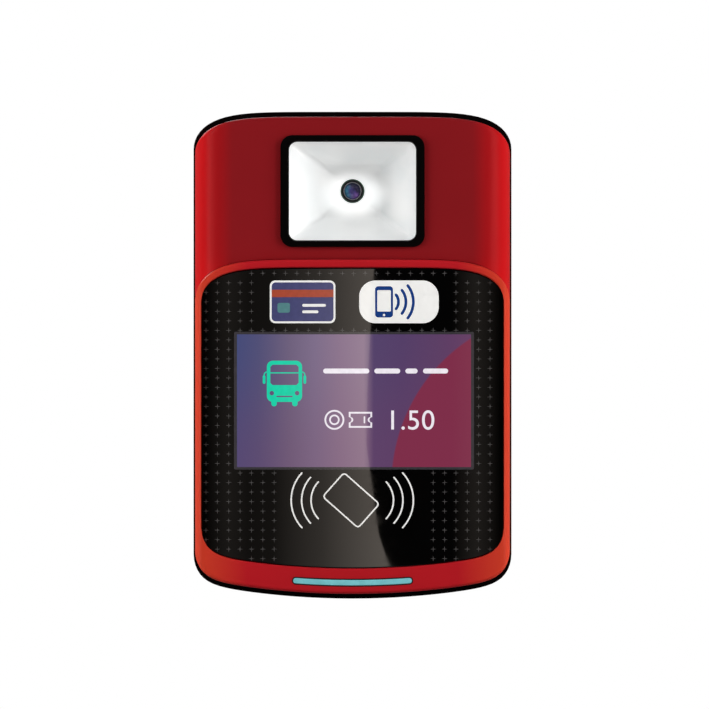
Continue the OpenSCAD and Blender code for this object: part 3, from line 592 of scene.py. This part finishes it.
def rounded(w, h, r, cx=0.0, cz=0.0, n=10):
    """Rectangle with rounded corners."""
    corners = ((1, 1, 0), (-1, 1, 90), (-1, -1, 180), (1, -1, 270))
    points = []
    for sx, sz, start in corners:
        for i in range(n + 1):
            a = math.radians(start + 90 * i / n)
            x = sx * (w / 2 - r) + r * math.cos(a)
            z = sz * (h / 2 - r) + r * math.sin(a)
            points.append((cx + x, cz + z))
    return points


def circle(cx, cz, r, n=40):
    return [(cx + r * math.cos(2 * math.pi * k / n), cz + r * math.sin(2 * math.pi * k / n))
            for k in range(n)]


def glass_depth(x):
    """Depth of the glass's front surface at x."""
    return GLASS_CREST - GLASS_R + math.sqrt(GLASS_R * GLASS_R - x * x)


def bar_points(k, n=8):
    """Band along the light bar, widened by k all round."""
    r, e = BAR_H / 2 + k, BAR_LEN / 2 - BAR_H / 2
    steps = 24                 # segments along each long edge

    def mid(x):
        return BAR_Z + x * x / BOW_R

    def end(x, start):
        turns = [math.radians(start - 180 * i / n) for i in range(1, n)]
        return [(x + r * math.cos(a), mid(e) + r * math.sin(a)) for a in turns]

    xs = [e * (2 * i / steps - 1) for i in range(steps + 1)]
    upper = [(x, mid(x) + r) for x in xs]
    lower = [(x, mid(x) - r) for x in reversed(xs)]
    return upper + end(e, 90) + lower + end(-e, 270)


# ---------------------------------------------------------------- housing front

RED_TOP = crown(RED_W, SHELL_HIGH.z, 15 * MM)
RED_BOTTOM = sag(RED_W, BEZEL_LOW.z, 11.5 * MM)
BEZEL_TOP = crown(RED_W, BEZEL_HIGH.z, 17 * MM)
GLASS_TOP = crown(GLASS_W, GLASS_HIGH.z, 13 * MM)
GLASS_BOTTOM = sag(GLASS_W, GLASS_LOW.z, 10 * MM)
WALL = 2.6 * MM
DECK = 52 * MM


def front_shell():
    """Hollow front moulding with a step for the rim and a scanner opening."""
    back = -SHELL_HIGH.y
    opening_depth = 22 * MM
    body = moulding("front_shell_skin", RED_W, RED_TOP, RED_BOTTOM, back, FACE, 14 * MM, 1.1 * MM)
    wide = RED_W + 8 * MM
    below = CAD_BOX[0].z - 22 * MM
    seat = loft("seat", [outline(wide, lambda x: BEZEL_TOP(x) + 0.2 * MM, lambda x: below, d)
                         for d in (DECK, FACE + 0.02)])
    hollow = moulding("hollow", RED_W - WALL, RED_TOP, RED_BOTTOM, back - 0.01, DECK - 2.5 * MM,
                      1 * MM, 0.5 * MM, WALL)
    upper = loft("upper", [outline(RED_W - 6 * MM, lambda x: RED_TOP(x) - WALL,
                                   lambda x: BEZEL_TOP(x * 0.9) + WALL, d)
                           for d in (DECK - 3 * MM, FACE - WALL - 2 * MM)])
    opening = prism("opening", rounded(SCAN_W - 2 * MM, SCAN_H - 2 * MM, 3.8 * MM, 0, SCAN_Z),
                    FACE - opening_depth, FACE + 0.01)
    mesh = cut(body, seat, hollow, upper, opening)
    return piece("front_shell_skin", mesh, "deep_red", replaces=["front_shell"])


def screen_bezel():
    """Rim with a pocket for the glass and a slot for the light bar."""
    back = DECK - 0.02 * MM     # pressed on, so the seam is closed
    body = moulding("bezel_rim", RED_W, BEZEL_TOP, RED_BOTTOM, back, CREST, 4.5 * MM, 1.3 * MM)
    r = 0.7 * MM            # rounding of the rim's inner edge
    w = GLASS_W + 0.2 * MM
    mouth = [(CREST - 6 * MM, 0.0), (CREST - r, 0.0)]
    mouth += [(CREST - r + r * math.sin(math.radians(a)), r * (1 - math.cos(math.radians(a))))
              for a in (15, 30, 45, 60, 75, 90)]
    mouth.append((CREST + 2 * MM, r))
    pocket = loft("pocket", [outline(w + k, GLASS_TOP, GLASS_BOTTOM, d, -k - 0.2 * MM) for d, k in mouth])
    ledge = loft("ledge", [outline(GLASS_W - 3.3 * MM, GLASS_TOP, GLASS_BOTTOM, d, 3.3 * MM)
                           for d in (back - 0.01, CREST)])
    slot = prism("slot", bar_points(0.5 * MM), CREST - 7 * MM, CREST + 0.01)
    mesh = cut(body, pocket, ledge, slot)
    return piece("bezel_rim", mesh, "bright_red", replaces=["screen_bezel"])


def cover_glass():
    """Gently curved pane with a ground edge."""
    e = 0.25 * MM
    rings = [outline(GLASS_W - k, GLASS_TOP, GLASS_BOTTOM, (lambda x, s=sink: glass_depth(x) - s), k)
             for sink, k in ((GLASS_T, 0.0), (e, 0.0), (e * 0.3, e * 0.3), (0.0, e), (0.0, e + 0.1 * MM))]
    pane = loft("cover_glass", rings, True)
    return piece("cover_glass", pane, "screen_glass", replaces=["front_glass"])


front_shell()
screen_bezel()
cover_glass()


# ---------------------------------------------------------------- scanner

def scanner():
    """Black surround with a softened lip, open for the window."""
    lip = -SCAN_LOW.y
    skirt = -SCAN_HIGH.y
    e = 0.5 * MM
    steps = [(skirt, 2.2 * MM, 3.7 * MM), (FACE, 2.2 * MM, 3.7 * MM), (FACE, 0.0, 4.8 * MM),
             (lip - e, 0.0, 4.8 * MM), (lip - e * 0.3, e * 0.6, 4.5 * MM), (lip, 2 * e, 4.3 * MM)]
    body = loft("scanner_surround", [
        [(x, -d, z) for x, z in rounded(SCAN_W - k, SCAN_H - k, r, 0, SCAN_Z)] for d, k, r in steps])
    mouth = [(skirt - 0.01, 0.0), (lip - 0.6 * MM, 0.0), (lip - 0.1 * MM, 0.5 * MM),
             (lip + 1 * MM, 1.2 * MM)]
    hole = loft("hole", [
        [(x, -d, z) for x, z in rounded(WINDOW_W + k, WINDOW_H + k, 3.4 * MM + k / 2, 0, SCAN_Z)]
        for d, k in mouth])
    pocket = prism("pocket", rounded(WINDOW_W + 2.1 * MM, WINDOW_H + 1.6 * MM, 3.2 * MM, 0, SCAN_Z),
                   skirt - 0.01, FACE - 0.6 * MM)
    mesh = cut(body, hole, pocket)
    piece("scanner_surround", mesh, "black_case", replaces=["scanner_frame"])


def funnel():
    """White reflector: a flange, then four sloping faces that meet in soft valleys."""
    base_t = 1.5 * MM
    front = -FUNNEL_LOW.y
    back = -FUNNEL_HIGH.y + base_t
    base_w, base_h = 14 * MM, 12 * MM          # flat floor round the lens
    hole_r = 4.85 * MM
    count = 14
    rings = []
    flange = rounded(WINDOW_W + 1.9 * MM, WINDOW_H + 1.4 * MM, 3.1 * MM, 0, SCAN_Z, 12)
    outer = rounded(base_w + 4 * MM, base_h + 4 * MM, 2 * MM, 0, SCAN_Z, 12)
    rings.append([(x, -(back - base_t), z) for x, z in outer])
    rings.append([(x, -(front - 1.2 * MM), z) for x, z in flange])
    rings.append([(x, -front, z) for x, z in flange])
    for i in range(count + 1):
        t = i / count
        w = (WINDOW_W - 0.2 * MM) + (base_w - WINDOW_W) * t
        h = (WINDOW_H - 0.2 * MM) + (base_h - WINDOW_H) * t
        r = max(0.6 * MM, 3.2 * MM * (1 - 4 * t))
        d = front + (back - front) * math.sin(t * math.pi / 2) ** 0.96
        rings.append([(x, -d, z) for x, z in rounded(w, h, r, 0, SCAN_Z, 12)])
    hole = prism("hole", circle(0, SCAN_Z, hole_r, 64), back - 4 * MM, back + 4 * MM)
    mesh = cut(loft("reflector_funnel", rings), hole)
    piece("reflector_funnel", mesh, "white_reflector", replaces=["reflector"], degrees=50)


def lathe(name, profile, cz, n=72):
    """Closed section of (radius, depth) points, turned about the upright line's crossing at cz."""
    bm = bmesh.new()
    rows = []
    for k in range(n):
        a = 2 * math.pi * k / n
        rows.append([bm.verts.new((r * math.cos(a), -d, cz + r * math.sin(a))) for r, d in profile])
    m = len(profile)
    for k in range(n):
        one, two = rows[k], rows[(k + 1) % n]
        for i in range(m):
            j = (i + 1) % m
            bm.faces.new((one[i], one[j], two[j], two[i]))
    bmesh.ops.remove_doubles(bm, verts=bm.verts, dist=1e-7)
    bmesh.ops.dissolve_degenerate(bm, dist=1e-7, edges=bm.edges)
    return to_mesh(name, bm)


def lens():
    """Barrel with a rolled lip, a stepped retaining ring, and a coated dome."""
    low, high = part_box("lens_barrel")
    tip = -low.y
    base = tip - 3 * MM
    r = 4.5 * MM
    bore = r - 0.9 * MM
    lip = [(r - 0.25 * MM + 0.25 * MM * math.cos(t), tip - 0.25 * MM + 0.25 * MM * math.sin(t))
           for t in (math.radians(a) for a in range(0, 91, 15))]
    barrel = [(bore, base), (r, base)] + lip + [(bore + 0.15 * MM, tip), (bore, tip - 0.15 * MM)]
    piece("lens_barrel_turned", lathe("lens_barrel_turned", barrel, SCAN_Z), "lens_black",
          replaces=["lens_barrel"])
    front = tip - 0.2 * MM
    inner = bore - 0.3 * MM
    ring = [(bore - 0.01 * MM, front - 0.9 * MM), (bore - 0.01 * MM, front), (bore - 0.14 * MM, front),
            (bore - 0.2 * MM, front - 0.1 * MM), (bore - 0.26 * MM, front - 0.1 * MM),
            (inner, front - 0.3 * MM), (inner, front - 0.9 * MM)]
    piece("lens_retainer", lathe("lens_retainer", ring, SCAN_Z), "lens_metal", replaces=["lens_ring"])
    crest = tip - 1.12 * MM
    dome_r = 5.2 * MM
    edge = bore - 0.05 * MM
    curve = [(edge * k / 12, crest - dome_r + math.sqrt(dome_r ** 2 - (edge * k / 12) ** 2))
             for k in range(13)]
    dome = curve + [(edge, crest - 2.3 * MM), (0, crest - 2.3 * MM)]
    piece("lens_dome", lathe("lens_dome", dome, SCAN_Z), "lens_glass", replaces=["lens_glass"])


scanner()
funnel()
lens()


# ---------------------------------------------------------------- light bar

def bar_and_seal():
    """Light bar with softly rounded edges, in its black seal."""
    e = 0.35 * MM
    steps = [(CREST - 5 * MM, 0.0)]
    steps += [(CREST - e + e * math.sin(t), -e * (1 - math.cos(t)))
              for t in (math.radians(a) for a in (0, 22, 45, 68, 90))]
    rings = [[(x, -d, z) for x, z in bar_points(k)] for d, k in steps]
    piece("light_bar_lit", loft("light_bar_lit", rings), "cyan_bar", replaces=["light_bar"])
    outer = prism("seal", bar_points(0.5 * MM), CREST - 5 * MM, CREST - 0.1 * MM)
    inner = prism("seal_hole", bar_points(0.01 * MM), CREST - 6 * MM, CREST + 1 * MM)
    piece("light_bar_seal", cut(outer, inner), "rubber", replaces=["light_seal"])


bar_and_seal()


# ---------------------------------------------------------------- printing and picture on the glass

def filled(loops):
    """Flat mesh of closed loops of (x, z) points; a loop inside another is a hole."""
    curve = bpy.data.curves.new("flat", "CURVE")
    curve.dimensions = "2D"
    curve.fill_mode = "BOTH"
    for loop in loops:
        spline = curve.splines.new("POLY")
        spline.points.add(len(loop) - 1)
        for point, (x, z) in zip(spline.points, loop):
            point.co = (x, z, 0, 1)
        spline.use_cyclic_u = True
    return curve


def flat_mesh(data):
    """Mesh of a flat curve or text."""
    obj = bpy.data.objects.new("flat", data)
    place(obj)
    bpy.context.view_layer.update()
    mesh = bpy.data.meshes.new_from_object(obj.evaluated_get(bpy.context.evaluated_depsgraph_get()))
    bpy.data.objects.remove(obj)
    return mesh


def decal(name, shape, slot, material, level=1):
    """Thin closed layer that follows the glass; shape is a list of loops or a text curve."""
    data = filled(shape) if isinstance(shape, list) else shape
    bm = bmesh.new()
    bm.from_mesh(flat_mesh(data))
    bmesh.ops.remove_doubles(bm, verts=bm.verts, dist=1e-7)
    xs = [v.co.x for v in bm.verts]
    step = 5 * MM
    for k in range(math.ceil(min(xs) / step), math.floor(max(xs) / step) + 1):
        everything = bm.verts[:] + bm.edges[:] + bm.faces[:]
        bmesh.ops.bisect_plane(bm, geom=everything, plane_co=(k * step, 0, 0), plane_no=(1, 0, 0))
    high = 0.03 * MM * level
    rim = [e for e in bm.edges if e.is_boundary]
    faces = bm.faces[:]
    back = {v: bm.verts.new((v.co.x, -glass_depth(v.co.x) + 0.02 * MM, v.co.y)) for v in bm.verts[:]}
    for f in faces:
        bm.faces.new([back[v] for v in reversed(f.verts)])
    for e in rim:
        one, two = e.verts
        bm.faces.new((one, two, back[two], back[one]))
    for v in back:
        v.co = (v.co.x, -glass_depth(v.co.x) - high, v.co.y)
    return piece(name, to_mesh(name, bm), slot, material=material)


def turned(points, degrees, cx, cz):
    """Points turned about the origin, then moved to a centre."""
    c, s = math.cos(math.radians(degrees)), math.sin(math.radians(degrees))
    return [(cx + x * c - z * s, cz + x * s + z * c) for x, z in points]


def stroke(cx, cz, r, first, last, width, n=28):
    """Arc-shaped stroke with round ends, from one angle to another."""
    half = width / 2
    cap = 6                    # segments round each end
    a0, a1 = math.radians(first), math.radians(last)

    def at(radius, a):
        return cx + radius * math.cos(a), cz + radius * math.sin(a)

    def end(a, turn):
        ex, ez = at(r, a)
        turns = [a + turn + math.pi * k / cap for k in range(1, cap)]
        return [(ex + half * math.cos(t), ez + half * math.sin(t)) for t in turns]

    outer = [at(r + half, a0 + (a1 - a0) * k / n) for k in range(n + 1)]
    inner = [at(r - half, a1 + (a0 - a1) * k / n) for k in range(n + 1)]
    return outer + end(a1, 0) + inner + end(a0, math.pi)


# the glow on the print_ materials is painted light on plain ink; the picture_ materials are the screen's
# own light
WHITE_PRINT = printed("print_white", srgb(240, 239, 236), 0.42)
PALE_LIGHT = printed("picture_white", srgb(238, 232, 240), 1.0, lit=True)
TEAL_LIGHT = printed("picture_teal", srgb(18, 207, 166), 1.0, lit=True)
GREY_PRINT = printed("print_grey", srgb(92, 90, 90), 0.0)
EDGE_PRINT = printed("print_picture_edge", srgb(74, 70, 76), 0.0)
SLATE_PRINT = printed("print_slate", srgb(78, 80, 132), 0.1)
CORAL_PRINT = printed("print_coral", srgb(196, 84, 58), 0.1)
SEA_PRINT = printed("print_sea", srgb(96, 152, 156), 0.1)
BLUE_PRINT = printed("print_blue", srgb(32, 72, 150), 0.08)


def pattern_marks():
    """Fine grid of four-pointed marks: a band along the top, and columns down both sides."""
    tip, waist = 1.2 * MM, 0.24 * MM
    pitch_x, pitch_z = 4.575 * MM, 3.83 * MM
    first_x, first_z = -59.0 * MM, 33.0 * MM
    columns, rows = 27, 31
    margin = 1.0 * MM
    star = []
    for k in range(4):
        a = math.pi / 2 * k
        star.append((tip * math.cos(a), tip * math.sin(a)))
        star.append((waist * math.cos(a + math.pi / 4), waist * math.sin(a + math.pi / 4)))
    above = PICTURE_Z + PICTURE_H / 2
    below = PICTURE_Z - PICTURE_H / 2
    loops = []
    for i in range(columns):
        for j in range(rows):
            x, z = first_x + i * pitch_x, first_z - j * pitch_z
            side = min(i, columns - 1 - i)
            beside = below - 1.5 * MM < z < above + 0.6 * MM
            shown = side < (3 if beside else 5 if z > above else 7)
            shown = shown or j == 0 or above + 0.6 * MM < z < above + 4 * MM
            inside = abs(x) < GLASS_W - margin and GLASS_BOTTOM(x) + margin < z < GLASS_TOP(x) - margin
            if shown and inside:
                loops.append([(x + px, z + pz) for px, pz in star])
    decal("pattern_marks", loops, "screen_glass", GREY_PRINT)


def picture():
    """Lit picture in its narrow dark border."""
    w, h = PICTURE_W, PICTURE_H
    edge, lap = 0.8 * MM, 0.4 * MM
    outer = rounded(w + 2 * edge, h + 2 * edge, 0.6 * MM, PICTURE_X, PICTURE_Z, 4)
    inner = rounded(w - 2 * lap, h - lap, 0.2 * MM, PICTURE_X, PICTURE_Z, 3)
    decal("picture_edge", [outer, inner], "screen_glass", EDGE_PRINT)
    decal("picture", [inner], "picture", MATERIALS["picture"], 0.9)


def bus_sign():
    """Front view of a bus: body with a windscreen, two headlights, a bumper line, mirrors, wheels."""
    cx = -27.4 * MM
    roof, sill = -2.2 * MM, -18.8 * MM
    body = rounded(14.2 * MM, roof - sill, 2.4 * MM, cx, (roof + sill) / 2, 6)
    half, bevel = 5.7, 0.9     # half width of the windscreen and its cut corners, in mm

    def pane(straight, cornered, way):
        corner = ((-half, straight), (-half, cornered - way * bevel), (bevel - half, cornered),
                  (half - bevel, cornered), (half, cornered - way * bevel), (half, straight))
        return [(cx + x * MM, z * MM) for x, z in corner]

    upper_glass = pane(-6.85, -3.8, 1)
    lower_glass = pane(-7.35, -12.0, -1)
    lamps = [circle(cx + s * 5.1 * MM, -15.25 * MM, 0.9 * MM, 24) for s in (-1, 1)]
    bumper = rounded(6.6 * MM, 0.55 * MM, 0.27 * MM, cx, -16.6 * MM, 4)
    decal("bus_body", [body, upper_glass, lower_glass, *lamps, bumper], "picture", TEAL_LIGHT, 2)
    extras = []
    for s in (-1, 1):
        extras.append(rounded(1.1 * MM, 3.4 * MM, 0.5 * MM, cx + s * 8.2 * MM, -9.8 * MM, 5))
        extras.append(stroke(cx + s * 6.9 * MM, -8.0 * MM, 1.3 * MM, 0 if s > 0 else 90,
                             90 if s > 0 else 180, 0.45 * MM, 8))
        extras.append(rounded(2.2 * MM, 3.1 * MM, 1.0 * MM, cx + s * 4.2 * MM, -19.0 * MM, 5))
    for k, loop in enumerate(extras):
        decal(f"bus_part_{k}", [loop], "picture", TEAL_LIGHT, 1.8)


def message():
    """Four bars stand for a line of wording; below, a coin, a ticket and a fare."""
    z, h = -6.35 * MM, 2.0 * MM
    words = ((-11.8, 6.75), (8.8, 19.2), (21.3, 26.2), (28.4, 38.5))
    bars = [rounded((b - a) * MM, h, h / 2, (a + b) / 2 * MM, z) for a, b in words]
    decal("message_bars", bars, "picture", PALE_LIGHT, 2)
    line = -26.0 * MM
    coin = (-7.3 * MM, line)
    decal("coin_sign", [circle(*coin, 4.0 * MM), circle(*coin, 3.3 * MM), circle(*coin, 2.1 * MM),
                        circle(*coin, 1.45 * MM)], "picture", PALE_LIGHT, 2)
    x, w, h = 3.2 * MM, 9.4 * MM, 6.4 * MM
    outer = notched(x, line, w, h, 1.1 * MM)
    inner = notched(x, line, w - 1.4 * MM, h - 1.4 * MM, 1.1 * MM)
    stub = rounded(0.6 * MM, 2.8 * MM, 0.25 * MM, x + 1.6 * MM, line, 3)
    decal("ticket_sign", [outer, inner, stub], "picture", PALE_LIGHT, 2)
    text = bpy.data.curves.new("digits", "FONT")
    text.body = "1.50"
    text.size = 11.2 * MM
    text.space_character = 1.04
    low = flat_mesh(text)
    xs = [v.co.x for v in low.vertices]
    zs = [v.co.y for v in low.vertices]
    text.offset_x = 15.6 * MM - min(xs)
    text.offset_y = -30.0 * MM - min(zs)
    decal("fare_digits", text, "picture", PALE_LIGHT, 2)


def notched(cx, cz, w, h, notch, n=8):
    """Ticket outline: a rectangle with a round bite in the middle of each short side."""
    points = [(cx - w / 2, cz + h / 2), (cx + w / 2, cz + h / 2)]
    points += [(cx + w / 2 - notch * math.sin(math.pi * k / n), cz + notch * math.cos(math.pi * k / n))
               for k in range(n + 1)]
    points += [(cx + w / 2, cz - h / 2), (cx - w / 2, cz - h / 2)]
    points += [(cx - w / 2 + notch * math.sin(math.pi * k / n), cz - notch * math.cos(math.pi * k / n))
               for k in range(n + 1)]
    return points


def card_badge():
    """White-edged badge with a plain bank card: stripe, chip and two number bars."""
    cx, cz, w, h = -20.1 * MM, 21.5 * MM, 26.4 * MM, 17.2 * MM
    decal("card_badge_plate", [rounded(w, h, 2.2 * MM, cx, cz)], "screen_glass", WHITE_PRINT)
    decal("card_badge_field", [rounded(w - 1.5 * MM, h - 1.5 * MM, 1.6 * MM, cx, cz)], "screen_glass",
          SLATE_PRINT, 2)
    decal("card_badge_band", [rounded(w - 1.5 * MM, 3.0 * MM, 0.1 * MM, cx, cz + 3.4 * MM, 2)],
          "screen_glass", CORAL_PRINT, 3)
    decal("card_badge_chip", [rounded(5.0 * MM, 3.9 * MM, 0.8 * MM, cx - 7.6 * MM, cz - 2.4 * MM)],
          "screen_glass", SEA_PRINT, 3)
    lines = [rounded(9.5 * MM, 1.1 * MM, 0.5 * MM, cx + 4.6 * MM, cz - 1.4 * MM, 4),
             rounded(6.5 * MM, 1.1 * MM, 0.5 * MM, cx + 3.1 * MM, cz - 4.0 * MM, 4)]
    decal("card_badge_lines", lines, "screen_glass", WHITE_PRINT, 3)


def phone_badge():
    """White badge with a blue phone that sends three waves."""
    cx, cz, w, h = 18.7 * MM, 21.5 * MM, 32.0 * MM, 17.2 * MM
    decal("phone_badge_plate", [rounded(w, h, 6.5 * MM, cx, cz, 16)], "screen_glass", WHITE_PRINT)
    px, pw, ph = cx - 6.0 * MM, 7.2 * MM, 12.6 * MM
    screen = rounded(pw - 1.7 * MM, ph - 4.0 * MM, 0.4 * MM, px, cz + 0.4 * MM, 4)
    key = circle(px, cz - ph / 2 + 1.0 * MM, 0.5 * MM, 16)
    decal("phone_badge_phone", [rounded(pw, ph, 1.3 * MM, px, cz), screen, key], "screen_glass",
          BLUE_PRINT, 2)
    for k in range(3):
        r = (4.6 + 3.0 * k) * MM
        decal(f"phone_badge_wave_{k}", [stroke(px + 1.2 * MM, cz, r, -38, 38, 1.15 * MM)], "screen_glass",
              BLUE_PRINT, 2)


def tap_sign():
    """Tilted card outline between two sets of three waves."""
    cx, cz = -0.6 * MM, -58.4 * MM
    w, h, line = 19.0 * MM, 12.9 * MM, 0.55 * MM
    waves = ((16.2, 24.6, 11.0), (13.6, 20.4, 9.2), (10.8, 16.6, 7.4))    # radius, apex, half height
    outer = turned(rounded(w + line, h + line, 1.6 * MM), -41.5, cx, cz)
    inner = turned(rounded(w - line, h - line, 1.1 * MM), -41.5, cx, cz)
    decal("tap_card", [outer, inner], "screen_glass", WHITE_PRINT)
    shift = 0.5
    for k, (r, apex, reach) in enumerate(waves):
        spread = math.degrees(math.asin(reach / r))
        for side, start in ((1, 0), (-1, 180)):
            centre = cx + (shift + side * (apex - r)) * MM
            decal(f"tap_wave_{'right' if side > 0 else 'left'}_{k}",
                  [stroke(centre, cz, r * MM, start - spread, start + spread, 0.6 * MM)], "screen_glass",
                  WHITE_PRINT)


pattern_marks()
picture()
bus_sign()
message()
card_badge()
phone_badge()
tap_sign()


# ---------------------------------------------------------------- stage

def area_light(name, at, aim, power, width, height):
    """Flat lamp that faces a point."""
    data = bpy.data.lights.new(name, "AREA")
    data.shape = "RECTANGLE"
    data.size, data.size_y = width, height
    data.energy = power
    obj = bpy.data.objects.new(name, data)
    place(obj)
    obj.location = at
    obj.rotation_euler = (Vector(aim) - Vector(at)).to_track_quat("-Z", "Y").to_euler()
    return obj


MIDDLE = (0, -0.05, 0)
for side, power in ((-1, 6.0), (1, 7.2)):
    strip = area_light(f"side_{side}", (side * 0.75, -0.42, 0.02), MIDDLE, power, 0.4, 1.1)
    strip.visible_glossy = False
area_light("front_high", (0, -0.95, 1.0), MIDDLE, 1.75, 1.6, 0.6)
area_light("front_low", (0, -0.95, -0.8), MIDDLE, 1.3, 1.6, 0.5)
area_light("back_high", (-0.5, 0.9, 0.7), MIDDLE, 9, 1.2, 0.6)

CARD_D = 0.6                       # distance of the reflected cards in front of the glass
SPREAD = 1 + 2 * CARD_D / GLASS_R  # how much the curved glass widens what it mirrors


def reflected_card(name, columns, low, high, glow, shade_at):
    """Bright card that only mirrors see; columns give its left and right edge at each height."""
    bm = bmesh.new()
    left, right = columns
    rows = 24
    verts = []
    for k in range(rows + 1):
        z = low + (high - low) * k / rows
        verts.append([bm.verts.new((x * SPREAD, -CARD_D - GLASS_CREST, z)) for x in (left(z), right(z))])
    for a, b in zip(verts, verts[1:]):
        bm.faces.new((a[0], a[1], b[1], b[0]))
    obj = bpy.data.objects.new(name, to_mesh(name, bm))
    place(obj)
    mat = bpy.data.materials.new(name)
    mat.use_nodes = True
    tree = mat.node_tree
    tree.nodes.clear()
    coord = tree.nodes.new("ShaderNodeTexCoord")
    split = tree.nodes.new("ShaderNodeSeparateXYZ")
    tree.links.new(coord.outputs["Object"], split.inputs[0])
    scale = tree.nodes.new("ShaderNodeMapRange")
    first, last = shade_at[0][0], shade_at[-1][0]
    scale.inputs["From Min"].default_value = first * SPREAD
    scale.inputs["From Max"].default_value = last * SPREAD
    tree.links.new(split.outputs["X"], scale.inputs["Value"])
    ramp = tree.nodes.new("ShaderNodeValToRGB")
    stops = ramp.color_ramp.elements
    for x, level in shade_at:
        at = (x - first) / (last - first)
        stop = stops[0] if x == first else stops[-1] if x == last else stops.new(at)
        stop.color = (level, level * 0.88, level * 0.77, 1)
    tree.links.new(scale.outputs["Result"], ramp.inputs["Fac"])
    light = tree.nodes.new("ShaderNodeEmission")
    light.inputs["Strength"].default_value = glow
    tree.links.new(ramp.outputs["Color"], light.inputs["Color"])
    out = tree.nodes.new("ShaderNodeOutputMaterial")
    tree.links.new(light.outputs[0], out.inputs["Surface"])
    obj.data.materials.append(mat)
    obj.visible_camera = False
    obj.visible_diffuse = False
    obj.visible_shadow = False
    obj.visible_transmission = False


def window_edge(z):
    """Right edge of the window's reflection, as it crosses the glass at height z."""
    points = ((-0.088, 0.0162), (-0.082, 0.0137), (-0.072, 0.0105), (-0.036, 0.0056), (-0.014, 0.006),
              (0.010, 0.0072), (0.038, 0.0088))
    for (z0, x0), (z1, x1) in zip(points, points[1:]):
        if z <= z1:
            return x0 + (x1 - x0) * (z - z0) / (z1 - z0)
    return points[-1][1]


CARD_LOW, CARD_HIGH = GLASS_LOW.z - 2 * MM, GLASS_HIGH.z + 2 * MM
WINDOW_SHADES = ((-0.060, 0.0), (-0.050, 0.10), (-0.042, 0.05), (-0.032, 0.06), (-0.012, 0.30),
                 (0.017, 1.0))
reflected_card("window_card", (lambda z: -0.060, window_edge), CARD_LOW, CARD_HIGH, 2.45, WINDOW_SHADES)
reflected_card("side_card", (lambda z: 0.040, lambda z: 0.060), CARD_LOW, CARD_HIGH, 3.0,
               ((0.040, 0.0), (0.050, 0.10), (0.060, 0.0)))

floor_z = CAD_BOX[0].z - 30 * MM
reach = 3
floor_mesh = bpy.data.meshes.new("floor")
corners = [(x * reach, y * reach, floor_z) for x, y in ((-1, -1), (1, -1), (1, 1), (-1, 1))]
floor_mesh.from_pydata(corners, [], [(0, 1, 2, 3)])
floor = bpy.data.objects.new("floor", floor_mesh)
place(floor)
floor_mesh.materials.append(floor_paper())
floor.visible_diffuse = False
floor.visible_glossy = False

def studio_world():
    """White backdrop for the camera; softer light for the rest, strongest from behind."""
    world = bpy.data.worlds.new("studio")
    world.use_nodes = True
    tree = world.node_tree
    backdrop = tree.nodes["Background"]
    backdrop.inputs["Color"].default_value = (1, 1, 1, 1)
    ambient = tree.nodes.new("ShaderNodeBackground")
    ambient.inputs["Color"].default_value = (1, 1, 1, 1)
    direction = tree.nodes.new("ShaderNodeTexCoord")
    split = tree.nodes.new("ShaderNodeSeparateXYZ")
    fade = tree.nodes.new("ShaderNodeMapRange")
    fade.interpolation_type = "SMOOTHSTEP"
    for key, value in (("From Min", -0.05), ("From Max", 0.7), ("To Min", 0.05), ("To Max", 0.75)):
        fade.inputs[key].default_value = value
    path = tree.nodes.new("ShaderNodeLightPath")
    mirrored = tree.nodes.new("ShaderNodeMapRange")      # reflections see a dimmer studio
    mirrored.inputs["To Min"].default_value = 1.0
    mirrored.inputs["To Max"].default_value = 0.12
    strength = tree.nodes.new("ShaderNodeMath")
    strength.operation = "MULTIPLY"
    choose = tree.nodes.new("ShaderNodeMixShader")
    for source, target in ((direction.outputs["Generated"], split.inputs[0]),
                           (split.outputs["Y"], fade.inputs["Value"]),
                           (path.outputs["Is Glossy Ray"], mirrored.inputs["Value"]),
                           (fade.outputs["Result"], strength.inputs[0]),
                           (mirrored.outputs["Result"], strength.inputs[1]),
                           (strength.outputs[0], ambient.inputs["Strength"]),
                           (path.outputs["Is Camera Ray"], choose.inputs[0]),
                           (ambient.outputs[0], choose.inputs[1]),
                           (backdrop.outputs[0], choose.inputs[2]),
                           (choose.outputs[0], tree.nodes["World Output"].inputs["Surface"])):
        tree.links.new(source, target)
    bpy.context.scene.world = world


studio_world()

camera = bpy.data.cameras.new("camera")
camera.type = "ORTHO"
camera.ortho_scale = 0.2855
camera.clip_end = 20
camera_obj = bpy.data.objects.new("camera", camera)
place(camera_obj)
camera_obj.location = (0.0008, -2.0, 0.0003)
camera_obj.rotation_euler = (math.pi / 2, 0, 0)
bpy.context.scene.camera = camera_obj
bpy.context.scene.view_settings.view_transform = "Standard"

SLOT_OF = {s["node"]: s["material_slot"] for s in frame["record"]["subparts"]}
# rounding of the edges of CAD parts that are seen from outside, in mm
BEVELS = {"rear_shell": 0.35, "wall_bracket": 0.25, "service_door": 0.25, "lock_body": 0.2,
          "lock_plug": 0.15, "connector_shell": 0.2, "door_catch": 0.12, "vent_plug": 0.2,
          "mounting_studs": 0.2, "bracket_pads": 0.25, "earth_screw": 0.2}
for name, node in NODES.items():
    node.data.materials.clear()
    node.data.materials.append(MATERIALS[SLOT_OF[name]])
    smooth(node.data)
    if name in BEVELS:
        weld = node.modifiers.new("weld", "WELD")
        weld.merge_threshold = 1e-6
        bevel = node.modifiers.new("edges", "BEVEL")
        bevel.width = BEVELS[name] * MM
        bevel.segments = 2
        bevel.limit_method = "ANGLE"
        bevel.angle_limit = math.radians(32)
        node.modifiers.new("normals", "WEIGHTED_NORMAL").keep_sharp = True
